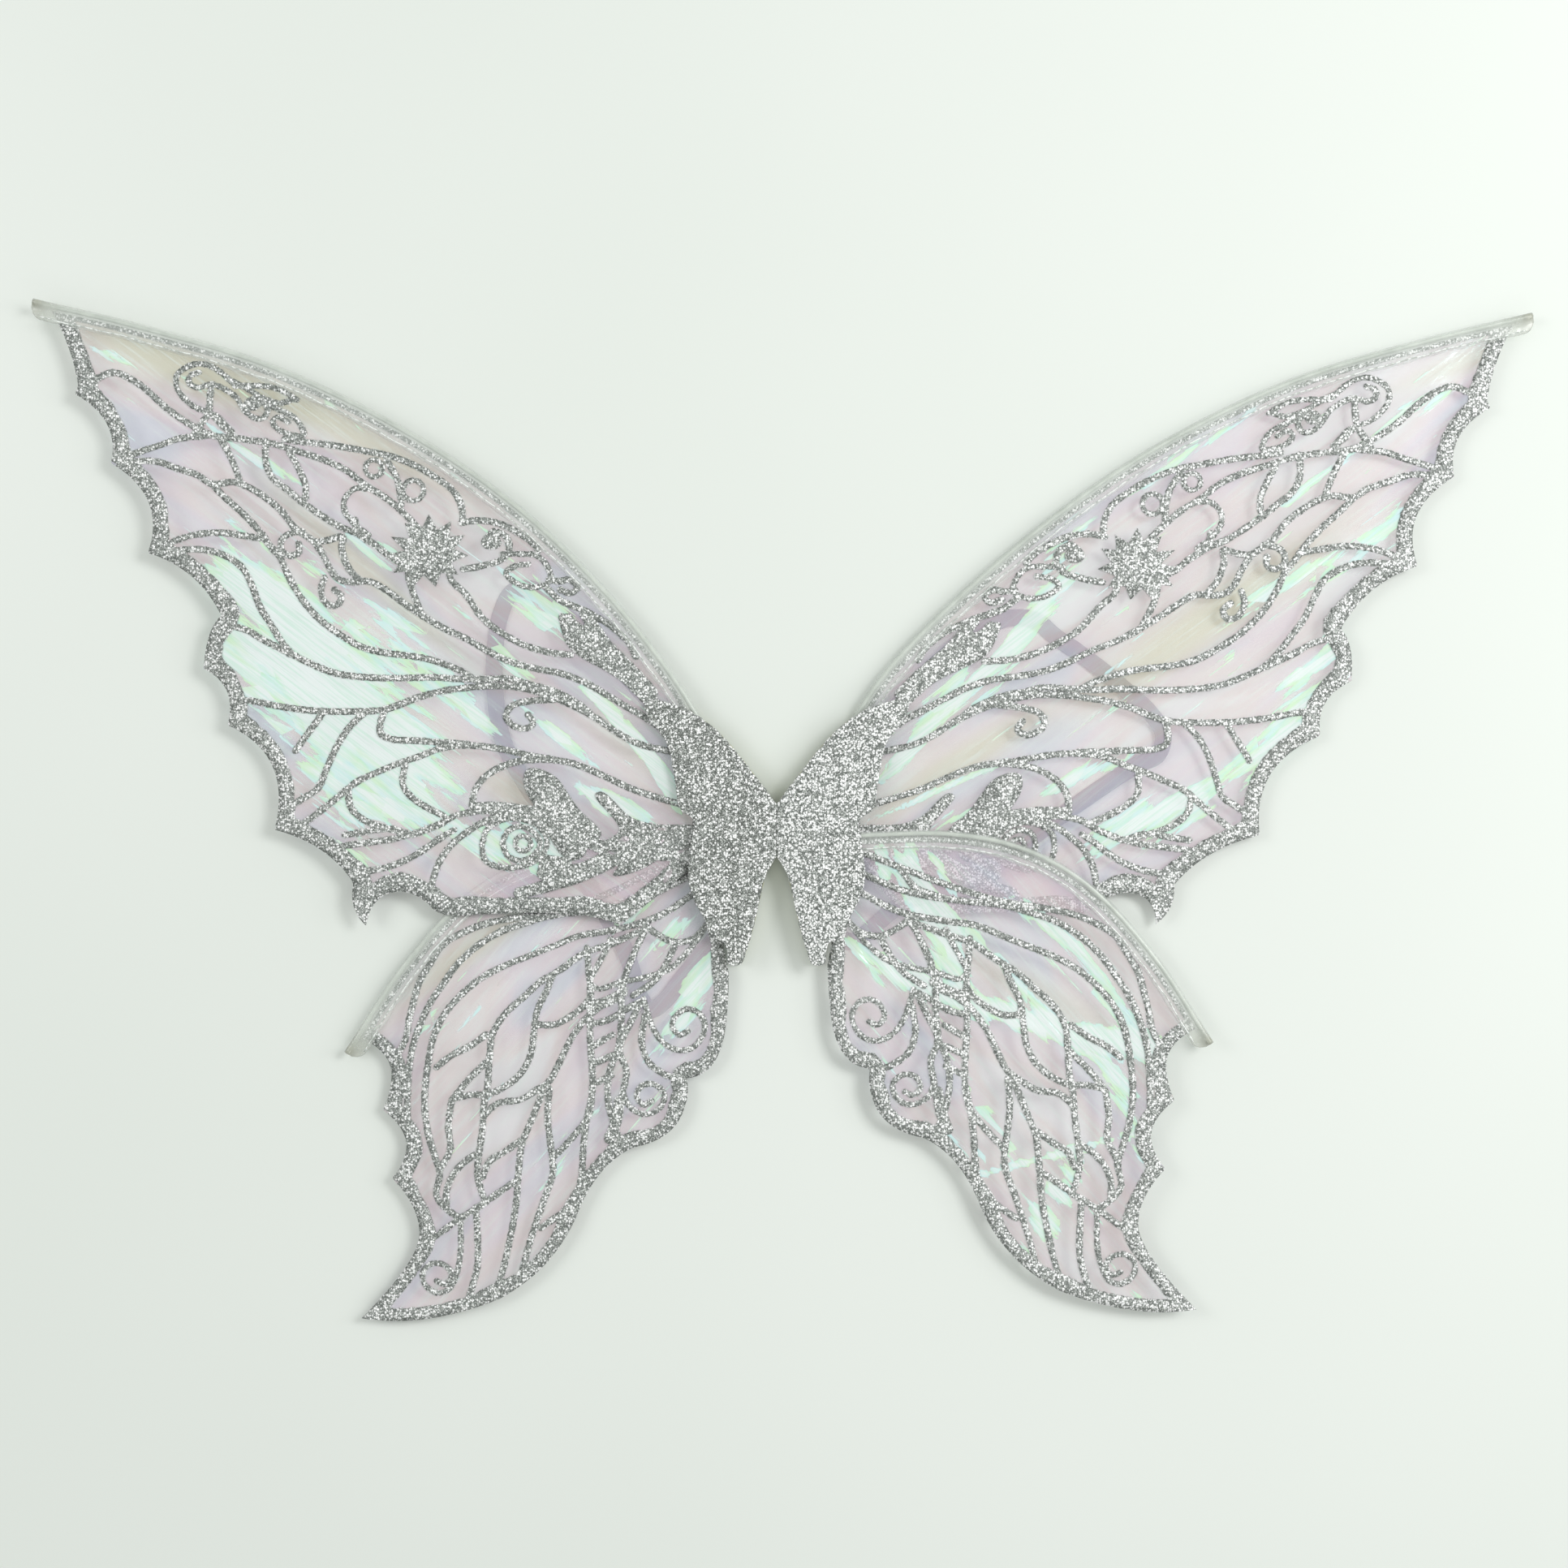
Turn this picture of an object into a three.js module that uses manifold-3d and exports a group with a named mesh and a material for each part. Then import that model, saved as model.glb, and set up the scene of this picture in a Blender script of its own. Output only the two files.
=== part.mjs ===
// Fairy wings: four film wings on ribs, held in a foam hub that folds at its spine,
// with two elastic shoulder loops behind it.
//
// The wings lie flat, front face up. +X is the viewer's right, +Y is up, +Z is the front.
// The origin is on the spine, on the back of the hub, just under the notch where its lobes meet.
// Everything is drawn for the left side (x below 0), and the right side is its mirror image,
// laid a few millimetres out of true as soft wings are.
import * as THREE from 'three';
import { mergeVertices } from 'three/addons/utils/BufferGeometryUtils.js';
import Module from 'manifold-3d';

const wasm = await Module();
wasm.setup();

// Driving dimensions, in millimetres.
const GAP = 0.3;                 // space left between pieces that touch
const BACK_SHEET = 1.5;          // foam sheet on the back of the hub
const CORE = 7.9;                // foam block between the sheets
const FRONT_SHEET = 2.0;         // glitter foam sheet on the front
const SPINE_WIDTH = 5;           // flat strip between the two creases
const RIB_RADIUS = 1.25;
const LOW_LAYER = 4.2;           // height of a rib's middle in the layer near the back
const HIGH_LAYER = 7.4;          // and in the layer near the front
const FILM = 0.4;
const FILM_DROP = 0.6;           // from a rib's middle down to its film's back
const GLITTER = 0.5;
const BORDER = 11;               // width of the glitter border
const VEIN = 4.8;                // width of a glitter vein
const VEIN_FINENESS = 1.6;       // straight runs of a vein for each of its points
const STRIP_OVERLAP = 3;         // how far neighbouring strips of the border run into each other
const STRIP_SPARE = 0.5;         // and past the film's outline, before they are trimmed
const RIB_STEPS = 18;            // straight runs along a rib and its sleeve
const LEADING_STEPS = 14;        // and along a film's leading edge
const SLEEVE_START = 18;         // from a rib's pivot to its sleeve
const FILM_START = 22;           // and to its film
const SLEEVE_DEPTH = 9.2;        // from a rib's middle to the sleeve's open edge
const SLEEVE_WALL = 0.45;
const BUTTON_RADIUS = 3.6;       // round end of a rib, turning in its pocket
const POCKET_RADIUS = 4.2;
const POCKET_FLARE = 5;          // degrees that the pocket opens on each side of its rib
const POCKET_REACH = 30;         // from the pivot to past the core's outline
const STRAP_WIDTH = 10;
const STRAP = 1.0;
const TAB = 0.8;                 // patch that a strap's end is sewn to
const TAB_LENGTH = 20;
const TAB_WIDTH = 15;
const FILM_END = 12;             // from a sleeve's far end back to the film's corner
const RIB_END = 5;               // and back to the rib's end
const CURVE_STEPS = 4;           // straight runs in each curve of an outline

// How the right wings lie out of the mirror image of the left ones: each shift grows from none at
// `near` from the pivot to its full size at `far`.
const LOWER_SHIFT = { near: 20, far: 100, out: 2, up: 6 };
const UPPER_SHIFT = {
  near: 20, far: 200, out: 8, down: 7.5,
  lowFrom: 130, lowOver: 200, lowIn: 26, lowUp: 8.5,   // below y = lowFrom, it curls in and up
};

// Heights that follow from them.
const coreBottom = BACK_SHEET + GAP;
const frontBottom = coreBottom + CORE + GAP;
const tabBottom = -GAP - TAB;
const strapMiddle = tabBottom - GAP - STRAP / 2;

// A wing's outline runs from the rib's tip round the open edge to the root. Each curve is its
// control point and its end, and the border's width where that differs; root points are joined
// by straight lines inside the hub.
const UPPER = {
  rib: [[-30, 27], [-42, 47.3], [-62, 79.3], [-101.6, 128.9], [-151.5, 176.8],
    [-211.2, 218], [-290.8, 257.4], [-370.6, 281.8], [-434, 296.8]],
  edge: [
    [[-412, 272], [-408, 250]], [[-407, 247], [-410, 243.5], 6],
    [[-383, 229], [-388.5, 203]], [[-355, 183], [-367, 150.5]],
    [[-338, 142], [-324, 114]], [[-333, 106], [-334.5, 83]],
    [[-314, 73], [-320.5, 50]], [[-282, 33], [-293, -11]],
    [[-262, -19], [-247, -42]], [[-250, -58], [-239.5, -67], 5],
    [[-237, -48], [-220, -47], 8], [[-208, -48], [-200, -58]],
    [[-195, -62], [-180, -61]], [[-140, -58], [-112, -61]],
    [[-96, -64], [-91, -67]], [[-78, -56], [-50, -34]],
  ],
  root: [[-44, -30], [-42.5, -5], [-44, 18]],
  veins: [
    [[-404, 250], [-387, 256], [-356, 235], [-330, 219.5], [-295, 214.5], [-262, 204], [-205, 160]],
    [[-384, 206], [-360, 213.5], [-330, 219.5]],
    [[-381, 203], [-350, 200], [-330, 191], [-300, 161], [-278, 125], [-243, 96], [-205, 89], [-165, 76]],
    [[-330, 191], [-303, 186], [-277, 162], [-255, 135], [-228, 129], [-180, 100], [-125, 80], [-76, 52]],
    [[-360, 153], [-322, 149], [-302, 120], [-283, 92], [-240, 78], [-165, 76], [-105, 54], [-60, 36]],
    [[-312, 65], [-270, 58.5], [-220, 62], [-165, 76]],
    [[-283, 5], [-263, 24], [-250, 48], [-235, 59]],
    [[-283, -12], [-245, 17], [-188, 38], [-130, 30], [-80, 11], [-50, 4]],
    [[-262, -18], [-215, -14], [-165, 1], [-118, -10], [-80, -14], [-46, -12]],
  ],
};
const LOWER = {
  rib: [[-26, -16], [-60, -14.5], [-100, -18.2], [-140, -27.6], [-178, -48.5], [-218, -91.4], [-251, -142]],
  edge: [
    [[-224, -142], [-225.5, -157]], [[-226, -166], [-230.5, -175]],
    [[-217, -185], [-216.5, -196]], [[-217, -206], [-225, -215]],
    [[-208, -232], [-209, -249]], [[-211, -265], [-243, -297]],
    [[-205, -303], [-163, -286]], [[-132, -270], [-117.7, -238.7]],
    [[-106, -207], [-84, -197]], [[-58, -192], [-53.5, -172]],
    [[-51, -166], [-52.5, -156.5]], [[-31, -155], [-29, -118]],
    [[-28, -106], [-28, -95]],
  ],
  root: [[-31, -80], [-36, -62], [-41, -45], [-42, -24]],
  veins: [
    [[-50, -24], [-130, -61], [-175, -79], [-203, -113], [-215, -150], [-214, -197]],
    [[-42, -35], [-115, -73], [-173, -98], [-204, -148], [-204, -188], [-199, -225], [-172, -228]],
    [[-42, -50], [-97, -78], [-148, -109], [-168, -145], [-172, -185], [-172, -228], [-213, -254]],
    [[-131, -96], [-142, -130], [-160, -162], [-190, -168], [-191, -198], [-199, -225]],
    [[-38, -66], [-78, -97], [-112, -122], [-134, -160], [-171, -178]],
    [[-134, -160], [-149, -195], [-154, -240], [-166, -284]],
    [[-134, -160], [-131, -212], [-149, -270]],
    [[-34, -76], [-92, -135], [-110, -175], [-113, -232]],
  ],
};

// The hub's left lobe, from the upper notch round to the lower one.
const LOBE = [
  [-14, 22.5], [-30, 42], [-43.5, 54], [-57, 61], [-70, 64.5], [-76.7, 62], [-75, 54.5],
  [-66, 43], [-62.5, 35], [-60.3, 25], [-58.5, 12], [-56, 1], [-48, -6], [-49.3, -15.5],
  [-50.8, -27], [-51.2, -42], [-46.5, -55], [-42, -63], [-40, -70], [-31, -76.5],
  [-28, -84], [-24.5, -89], [-21, -88], [-13, -64], [-6, -37],
];
const NOTCH = { top: 3, topSide: 6, bottom: -25, bottomSide: -29.5 };
const CORE_OUTLINE = [
  [-13.5, 19], [-28.5, 37.5], [-35, 38.5], [-40, 31], [-39.5, 22], [-35, 14], [-34, -6],
  [-36, -12], [-36, -22], [-31, -27], [-27, -40], [-22, -60], [-21.5, -78], [-19, -82],
  [-13.5, -62], [-8, -38],
];

// Where each shoulder loop lies, from its end behind the upper lobe to its end behind the lower.
const LEFT_STRAP = [
  [-58, 46], [-80, 70], [-105, 98], [-130, 120], [-143, 130], [-155, 129], [-162, 116],
  [-165.5, 95], [-165.5, 70], [-161, 42], [-149, 18], [-134, -5], [-120, -27], [-108, -47],
  [-99, -64], [-90, -80], [-84, -97], [-80, -110], [-74, -117], [-66, -112], [-58, -102],
  [-48, -89], [-38, -77], [-30, -64],
];
const RIGHT_STRAP = [
  [58, 46], [78, 70], [98, 90], [118, 105], [136, 113], [152, 112], [163, 103], [176, 94],
  [192, 82], [206, 70], [219, 58], [227, 45], [224, 33], [212, 27], [196, 17], [180, 6],
  [163, -6], [146, -19], [129, -32], [112, -41], [95, -46], [78, -52], [65, -61], [54, -71],
  [44, -77], [35, -72], [30, -62],
];

const { clamp, smoothstep } = THREE.MathUtils;
const material = {
  film: { color: '#d9d3da', roughness: 0.12, metalness: 0.1, transparent: true, opacity: 0.6 },
  glitter: { color: '#8b918a', roughness: 0.45, metalness: 0.5 },
  foam: { color: '#8c8a72', roughness: 0.85, metalness: 0 },
  sleeve: { color: '#c9cfc8', roughness: 0.2, metalness: 0, transparent: true, opacity: 0.7 },
  rib: { color: '#9aa096', roughness: 0.3, metalness: 0 },
  elastic: { color: '#8f93a3', roughness: 0.8, metalness: 0 },
  felt: { color: '#e4e4e0', roughness: 0.9, metalness: 0 },
};

function piece(name, geometry, look, height = 0) {
  const mesh = new THREE.Mesh(geometry, new THREE.MeshStandardMaterial(material[look]));
  mesh.name = name;
  mesh.position.z = height;
  return mesh;
}

function plate(points, thickness) {
  const shape = new THREE.Shape(points.map(([x, y]) => new THREE.Vector2(x, y)));
  return new THREE.ExtrudeGeometry(shape, { depth: thickness, bevelEnabled: false });
}

// Joining and cutting with manifold-3d.
function solid(geometry) {
  const bare = geometry.clone();
  bare.deleteAttribute('normal');
  bare.deleteAttribute('uv');
  const merged = mergeVertices(bare, 1e-4);
  return new wasm.Manifold(new wasm.Mesh({
    numProp: 3,
    vertProperties: new Float32Array(merged.attributes.position.array),
    triVerts: new Uint32Array(merged.index.array),
  }));
}

function geometryOf(manifold) {
  const mesh = manifold.getMesh();
  const geometry = new THREE.BufferGeometry();
  geometry.setAttribute('position', new THREE.BufferAttribute(new Float32Array(mesh.vertProperties), 3));
  geometry.setIndex(new THREE.BufferAttribute(new Uint32Array(mesh.triVerts), 1));
  geometry.computeVertexNormals();
  return geometry;
}

// Where a point drawn on the left side lies. The right wings lie a little out of the mirror
// image: the upper one has slid out at the top and curled in at the bottom, the lower has risen.
function settled(design, side, [x, y]) {
  if (side === 'left') {
    return [x, y];
  }
  const [pivotX, pivotY] = design.rib[0];
  const reach = Math.hypot(x - pivotX, y - pivotY);
  const shift = design === LOWER ? LOWER_SHIFT : UPPER_SHIFT;
  const share = smoothstep(reach, shift.near, shift.far);
  if (design === LOWER) {
    return [-x + share * shift.out, y + share * shift.up];
  }
  const low = clamp((shift.lowFrom - y) / shift.lowOver, 0, 1);
  const out = shift.out - shift.lowIn * low;
  const up = shift.lowUp * low * low - shift.down;
  return [-x + share * out, y + share * up];
}

function ribCurve(design, side) {
  const points = design.rib.map((point) => settled(design, side, point));
  return new THREE.CatmullRomCurve3(points.map(([x, y]) => new THREE.Vector3(x, y, 0)), false, 'centripetal');
}

// The part of a curve between two distances along it.
function stretch(curve, from, to, steps) {
  const length = curve.getLength();
  const points = [];
  for (let i = 0; i <= steps; i += 1) {
    points.push(curve.getPointAt((from + (to - from) * i / steps) / length));
  }
  return new THREE.CatmullRomCurve3(points, false, 'centripetal');
}

// Points beside a rib, towards its film. Seen from the root, film lies to the left of a left rib.
function besideRib(curve, side, distance, from, to, steps) {
  const turn = side === 'left' ? 1 : -1;
  const length = curve.getLength();
  const points = [];
  for (let i = 0; i <= steps; i += 1) {
    const u = (from + (to - from) * i / steps) / length;
    const at = curve.getPointAt(u);
    const along = curve.getTangentAt(u);
    points.push([at.x - turn * distance * along.y, at.y + turn * distance * along.x]);
  }
  return points;
}

function curvePoints(start, [control, end]) {
  const curve = new THREE.QuadraticBezierCurve(
    new THREE.Vector2(...start), new THREE.Vector2(...control), new THREE.Vector2(...end));
  return curve.getPoints(CURVE_STEPS).map((point) => [point.x, point.y]);
}

// A wing's outline, and the curves of its open edge one by one.
function wingOutline(design, side) {
  const rib = ribCurve(design, side);
  const filmEnd = rib.getLength() - FILM_END;
  const leading = besideRib(rib, side, RIB_RADIUS + 4 * GAP, FILM_START, filmEnd, LEADING_STEPS);
  const outline = [...leading];
  const curves = [];
  let start = leading[leading.length - 1];
  for (const [control, end] of design.edge) {
    const placed = [settled(design, side, control), settled(design, side, end)];
    const points = curvePoints(start, placed);
    curves.push(points);
    outline.push(...points.slice(1));
    start = placed[1];
  }
  const root = design.root.map((point) => settled(design, side, point));
  outline.push(...root);
  return { leading, outline, curves, root: [...root, leading[0]] };
}

// A flat ribbon along a line of points, reaching so far to the left of it and so far to the right.
function ribbon(points, toLeft, toRight) {
  const left = [];
  const right = [];
  points.forEach(([x, y], i) => {
    const [ax, ay] = points[Math.max(i - 1, 0)];
    const [bx, by] = points[Math.min(i + 1, points.length - 1)];
    const length = Math.hypot(bx - ax, by - ay);
    const [acrossX, acrossY] = [-(by - ay) / length, (bx - ax) / length];
    left.push([x + toLeft * acrossX, y + toLeft * acrossY]);
    right.unshift([x - toRight * acrossX, y - toRight * acrossY]);
  });
  return solid(plate([...left, ...right], GLITTER));
}

// A line carried straight on past both of its ends.
function lengthened(points, extra) {
  const past = ([ax, ay], [bx, by]) => {
    const share = extra / Math.hypot(bx - ax, by - ay);
    return [bx + share * (bx - ax), by + share * (by - ay)];
  };
  const last = points.length - 1;
  return [past(points[1], points[0]), ...points, past(points[last - 1], points[last])];
}

// The strip inside a stretch of a wing's outline, a little past it on the outside and at both
// ends, so that neighbouring strips run into each other.
function borderRibbon(points, side, width) {
  const line = lengthened(points, STRIP_OVERLAP);
  return side === 'left' ? ribbon(line, width, STRIP_SPARE) : ribbon(line, STRIP_SPARE, width);
}

function smoothLine(points, steps) {
  const curve = new THREE.CatmullRomCurve3(
    points.map(([x, y]) => new THREE.Vector3(x, y, 0)), false, 'centripetal');
  return curve.getSpacedPoints(steps).map((point) => [point.x, point.y]);
}

// Border and veins joined into one lattice, then trimmed to the wing's outline.
function latticeGeometry(design, side) {
  const { leading, outline, curves, root } = wingOutline(design, side);
  let lattice = borderRibbon(leading, side, BORDER / 2).add(borderRibbon(root, side, BORDER));
  curves.forEach((points, i) => {
    lattice = lattice.add(borderRibbon(points, side, design.edge[i][2] ?? BORDER));
  });
  for (const vein of design.veins) {
    const points = vein.map((point) => settled(design, side, point));
    const line = smoothLine(points, Math.round(VEIN_FINENESS * vein.length));
    lattice = lattice.add(ribbon(line, VEIN / 2, VEIN / 2));
  }
  return geometryOf(lattice.intersect(solid(plate(outline, GLITTER))));
}

// A sleeve is a strip folded round the rib: its section is a ring round the rib, open towards
// the film, with a lip above and below. Distances run from the rib's middle towards the film.
function sleeveSection(side) {
  const lip = FILM_DROP + GAP;
  const outside = [[2.9, lip + SLEEVE_WALL], [0, 2.4], [-1.7, 1.7], [-2.4, 0]];
  const inside = [[2.5, lip], [0, 1.95], [-1.4, 1.3], [-1.95, 0]];
  const mirror = (list) => list.slice(0, 3).reverse().map(([d, h]) => [d, -h]);
  const section = [
    [SLEEVE_DEPTH, lip + SLEEVE_WALL], ...outside, ...mirror(outside), [SLEEVE_DEPTH, -lip - SLEEVE_WALL],
    [SLEEVE_DEPTH, -lip], ...[...inside, ...mirror(inside)].reverse(), [SLEEVE_DEPTH, lip],
  ];
  const turn = side === 'left' ? 1 : -1;
  return new THREE.Shape(section.map(([d, h]) => new THREE.Vector2(-h, turn * d)));
}

function along(section, path, steps) {
  return new THREE.ExtrudeGeometry(section, { extrudePath: path, steps, bevelEnabled: false });
}

function roundSection(radius, sides) {
  const points = [];
  for (let i = 0; i < sides; i += 1) {
    const angle = 2 * Math.PI * (i + 0.5) / sides;
    points.push(new THREE.Vector2(radius * Math.cos(angle), radius * Math.sin(angle)));
  }
  return new THREE.Shape(points);
}

function disc(radius, thickness, [x, y], sides = 24) {
  const round = roundSection(radius, sides);
  const geometry = new THREE.ExtrudeGeometry(round, { depth: thickness, bevelEnabled: false });
  geometry.translate(x, y, 0);
  return geometry;
}

function wing(level, side, layer) {
  const design = level === 'upper' ? UPPER : LOWER;
  const name = `${level}_${side}`;
  const rib = ribCurve(design, side);
  const length = rib.getLength();
  const ribPath = stretch(rib, BUTTON_RADIUS + GAP, length - RIB_END, RIB_STEPS);
  const sleevePath = stretch(rib, SLEEVE_START, length, RIB_STEPS);
  const { outline } = wingOutline(design, side);
  const pivot = settled(design, side, design.rib[0]);
  const filmBottom = layer - FILM_DROP;
  return [
    piece(`${name}_film`, plate(outline, FILM), 'film', filmBottom),
    piece(`${name}_glitter_lattice`, latticeGeometry(design, side), 'glitter', filmBottom + FILM + GAP),
    piece(`${name}_edge_sleeve`, along(sleeveSection(side), sleevePath, RIB_STEPS), 'sleeve', layer),
    piece(`${name}_rib`, along(roundSection(RIB_RADIUS, 8), ribPath, RIB_STEPS), 'rib', layer),
    piece(`${name}_rib_button`, disc(BUTTON_RADIUS, 2 * RIB_RADIUS, pivot), 'rib', layer - RIB_RADIUS),
  ];
}

const mirrored = (points, side) => points.map(([x, y]) => [side === 'left' ? x : -x, y]);

// The pocket of a rib: a round hole for its button and a flared way out along the rib.
function pocket(design, side) {
  const [pivot, next] = mirrored(design.rib, side);
  const angle = Math.atan2(next[1] - pivot[1], next[0] - pivot[0]);
  const near = RIB_RADIUS + GAP;
  const far = near + POCKET_REACH * Math.tan(THREE.MathUtils.degToRad(POCKET_FLARE));
  const channel = plate(
    [[0, -near], [POCKET_REACH, -far], [POCKET_REACH, far], [0, near]], CORE + 2);
  channel.rotateZ(angle);
  channel.translate(pivot[0], pivot[1], -1);
  const hole = disc(POCKET_RADIUS, CORE + 2, pivot, 32);
  hole.translate(0, 0, -1);
  return solid(hole).add(solid(channel));
}

function coreGeometry(side) {
  const inner = -SPINE_WIDTH / 2 - GAP;
  const outline = [[inner, NOTCH.topSide - 2], ...CORE_OUTLINE, [inner, NOTCH.bottomSide + 2]];
  const block = solid(plate(mirrored(outline, side), CORE));
  return geometryOf(block.subtract(pocket(UPPER, side)).subtract(pocket(LOWER, side)));
}

function lobePlate(side, thickness) {
  const inner = -SPINE_WIDTH / 2 - GAP;
  const outline = [[inner, NOTCH.topSide + 0.5], ...LOBE, [inner, NOTCH.bottomSide - 1]];
  return plate(mirrored(outline, side), thickness);
}

function spinePlate(thickness) {
  const half = SPINE_WIDTH / 2;
  const rightSide = [[half, NOTCH.topSide], [half, NOTCH.bottomSide]];
  const leftSide = [[-half, NOTCH.bottomSide], [-half, NOTCH.topSide]];
  return plate([[0, NOTCH.top], ...rightSide, [0, NOTCH.bottom], ...leftSide], thickness);
}

// The patch under a strap's end, turned to the strap's direction there.
function tab(name, end, next) {
  const patch = new THREE.BoxGeometry(TAB_LENGTH, TAB_WIDTH, TAB);
  const mesh = piece(name, patch, 'felt', tabBottom + TAB / 2);
  mesh.position.x = end[0];
  mesh.position.y = end[1];
  mesh.rotation.z = Math.atan2(next[1] - end[1], next[0] - end[0]);
  return mesh;
}

function strap(side) {
  const route = side === 'left' ? LEFT_STRAP : RIGHT_STRAP;
  const path = new THREE.CatmullRomCurve3(
    route.map(([x, y]) => new THREE.Vector3(x, y, 0)), false, 'centripetal');
  const section = new THREE.Shape([
    new THREE.Vector2(-STRAP / 2, -STRAP_WIDTH / 2), new THREE.Vector2(STRAP / 2, -STRAP_WIDTH / 2),
    new THREE.Vector2(STRAP / 2, STRAP_WIDTH / 2), new THREE.Vector2(-STRAP / 2, STRAP_WIDTH / 2),
  ]);
  return [
    piece(`${side}_shoulder_strap`, along(section, path, 50), 'elastic', strapMiddle),
    tab(`${side}_strap_tab_upper`, route[0], route[1]),
    tab(`${side}_strap_tab_lower`, route[route.length - 1], route[route.length - 2]),
  ];
}

function half(side) {
  const upperLayer = side === 'left' ? HIGH_LAYER : LOW_LAYER;
  const lowerLayer = side === 'left' ? LOW_LAYER : HIGH_LAYER;
  return [
    piece(`hub_front_${side}`, lobePlate(side, FRONT_SHEET), 'glitter', frontBottom),
    piece(`hub_core_${side}`, coreGeometry(side), 'foam', coreBottom),
    piece(`hub_back_${side}`, lobePlate(side, BACK_SHEET), 'foam'),
    ...strap(side),
    ...wing('upper', side, upperLayer),
    ...wing('lower', side, lowerLayer),
  ];
}

const fairyWings = new THREE.Group();
fairyWings.name = 'fairy_wings';
fairyWings.add(
  piece('spine_front_crease', spinePlate(FRONT_SHEET), 'glitter', frontBottom),
  piece('spine_core', spinePlate(CORE), 'foam', coreBottom),
  piece('spine_back_strip', spinePlate(BACK_SHEET), 'foam'),
  ...half('left'),
  ...half('right'),
);

export default fairyWings;
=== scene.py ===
# %% [markdown]
# # Fairy wings
#
# A pair of costume wings: four wings of iridescent film, each hung from a thin rib by a clear
# sleeve and covered with silver glitter veins, a foam hub in the middle that folds like a book,
# and two elastic loops behind it for the shoulders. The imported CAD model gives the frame. Each
# soft or plain part of it gets a finer piece here, worked out with numpy, in millimetres.

import bmesh
import bpy
import numpy as np
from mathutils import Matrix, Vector
from mathutils.geometry import delaunay_2d_cdt


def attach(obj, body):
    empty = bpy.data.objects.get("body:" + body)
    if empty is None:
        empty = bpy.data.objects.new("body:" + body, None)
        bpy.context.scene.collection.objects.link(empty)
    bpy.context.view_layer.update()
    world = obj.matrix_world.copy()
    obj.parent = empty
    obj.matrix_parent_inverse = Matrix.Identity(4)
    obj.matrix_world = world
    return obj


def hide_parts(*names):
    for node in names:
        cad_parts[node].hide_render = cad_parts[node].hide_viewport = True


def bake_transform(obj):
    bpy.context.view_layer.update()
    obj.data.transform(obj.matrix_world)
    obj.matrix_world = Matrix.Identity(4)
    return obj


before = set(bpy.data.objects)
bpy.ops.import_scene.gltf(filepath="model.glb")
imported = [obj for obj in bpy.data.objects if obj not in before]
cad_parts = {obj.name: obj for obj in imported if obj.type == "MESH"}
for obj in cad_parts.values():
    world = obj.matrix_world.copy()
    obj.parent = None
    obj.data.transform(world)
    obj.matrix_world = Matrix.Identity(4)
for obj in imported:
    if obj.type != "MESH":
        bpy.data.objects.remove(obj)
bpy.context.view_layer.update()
MM = 0.001

# %% [markdown]
# ## Camera
#
# The wings lie flat and are seen from straight above. A camera looks down its own -Z with +Y
# up, so here it needs no turning at all, only a height. A 50 mm lens on a 36 mm sensor sees a
# width of 36/50 of its height above the table.

# %% Camera
VIEW_WIDTH = 0.9205
VIEW_MIDDLE = (0.0043, 0.0157)
camera_data = bpy.data.cameras.new("camera")
camera_data.lens, camera_data.sensor_width = 50, 36
camera = bpy.data.objects.new("camera", camera_data)
camera.location = (*VIEW_MIDDLE, VIEW_WIDTH * camera_data.lens / camera_data.sensor_width)
bpy.context.scene.collection.objects.link(camera)
bpy.context.scene.camera = camera
print("camera height, m:", round(camera.location.z, 3))

# %% [markdown]
# ## Lines and swept shapes
#
# Nearly everything here is a line of points with something carried along it. A smooth line
# runs through its points as a centripetal Catmull-Rom curve, the same one as in the CAD, so the
# pieces lie exactly where the CAD has them. A profile is then carried along the line: at each
# step it is set up square to the line, which gives a grid of points for the whole surface.

# %% Smooth lines and sweeps
def line(text):
    """Points written as "x,y x,y ...", as an array of rows (x, y), in millimetres."""
    return np.array([pair.split(",") for pair in text.split()], float)


def evenly(points, spacing):
    """The same path with its points an even distance apart, about `spacing`, by length along it."""
    steps = np.linalg.norm(np.diff(points, axis=0), axis=1)
    run = np.concatenate([[0], np.cumsum(steps)])
    count = max(int(round(run[-1] / spacing)), 2) + 1
    at = np.linspace(0, run[-1], count)
    return np.stack([np.interp(at, run, points[:, k]) for k in range(points.shape[1])], axis=1)


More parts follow.
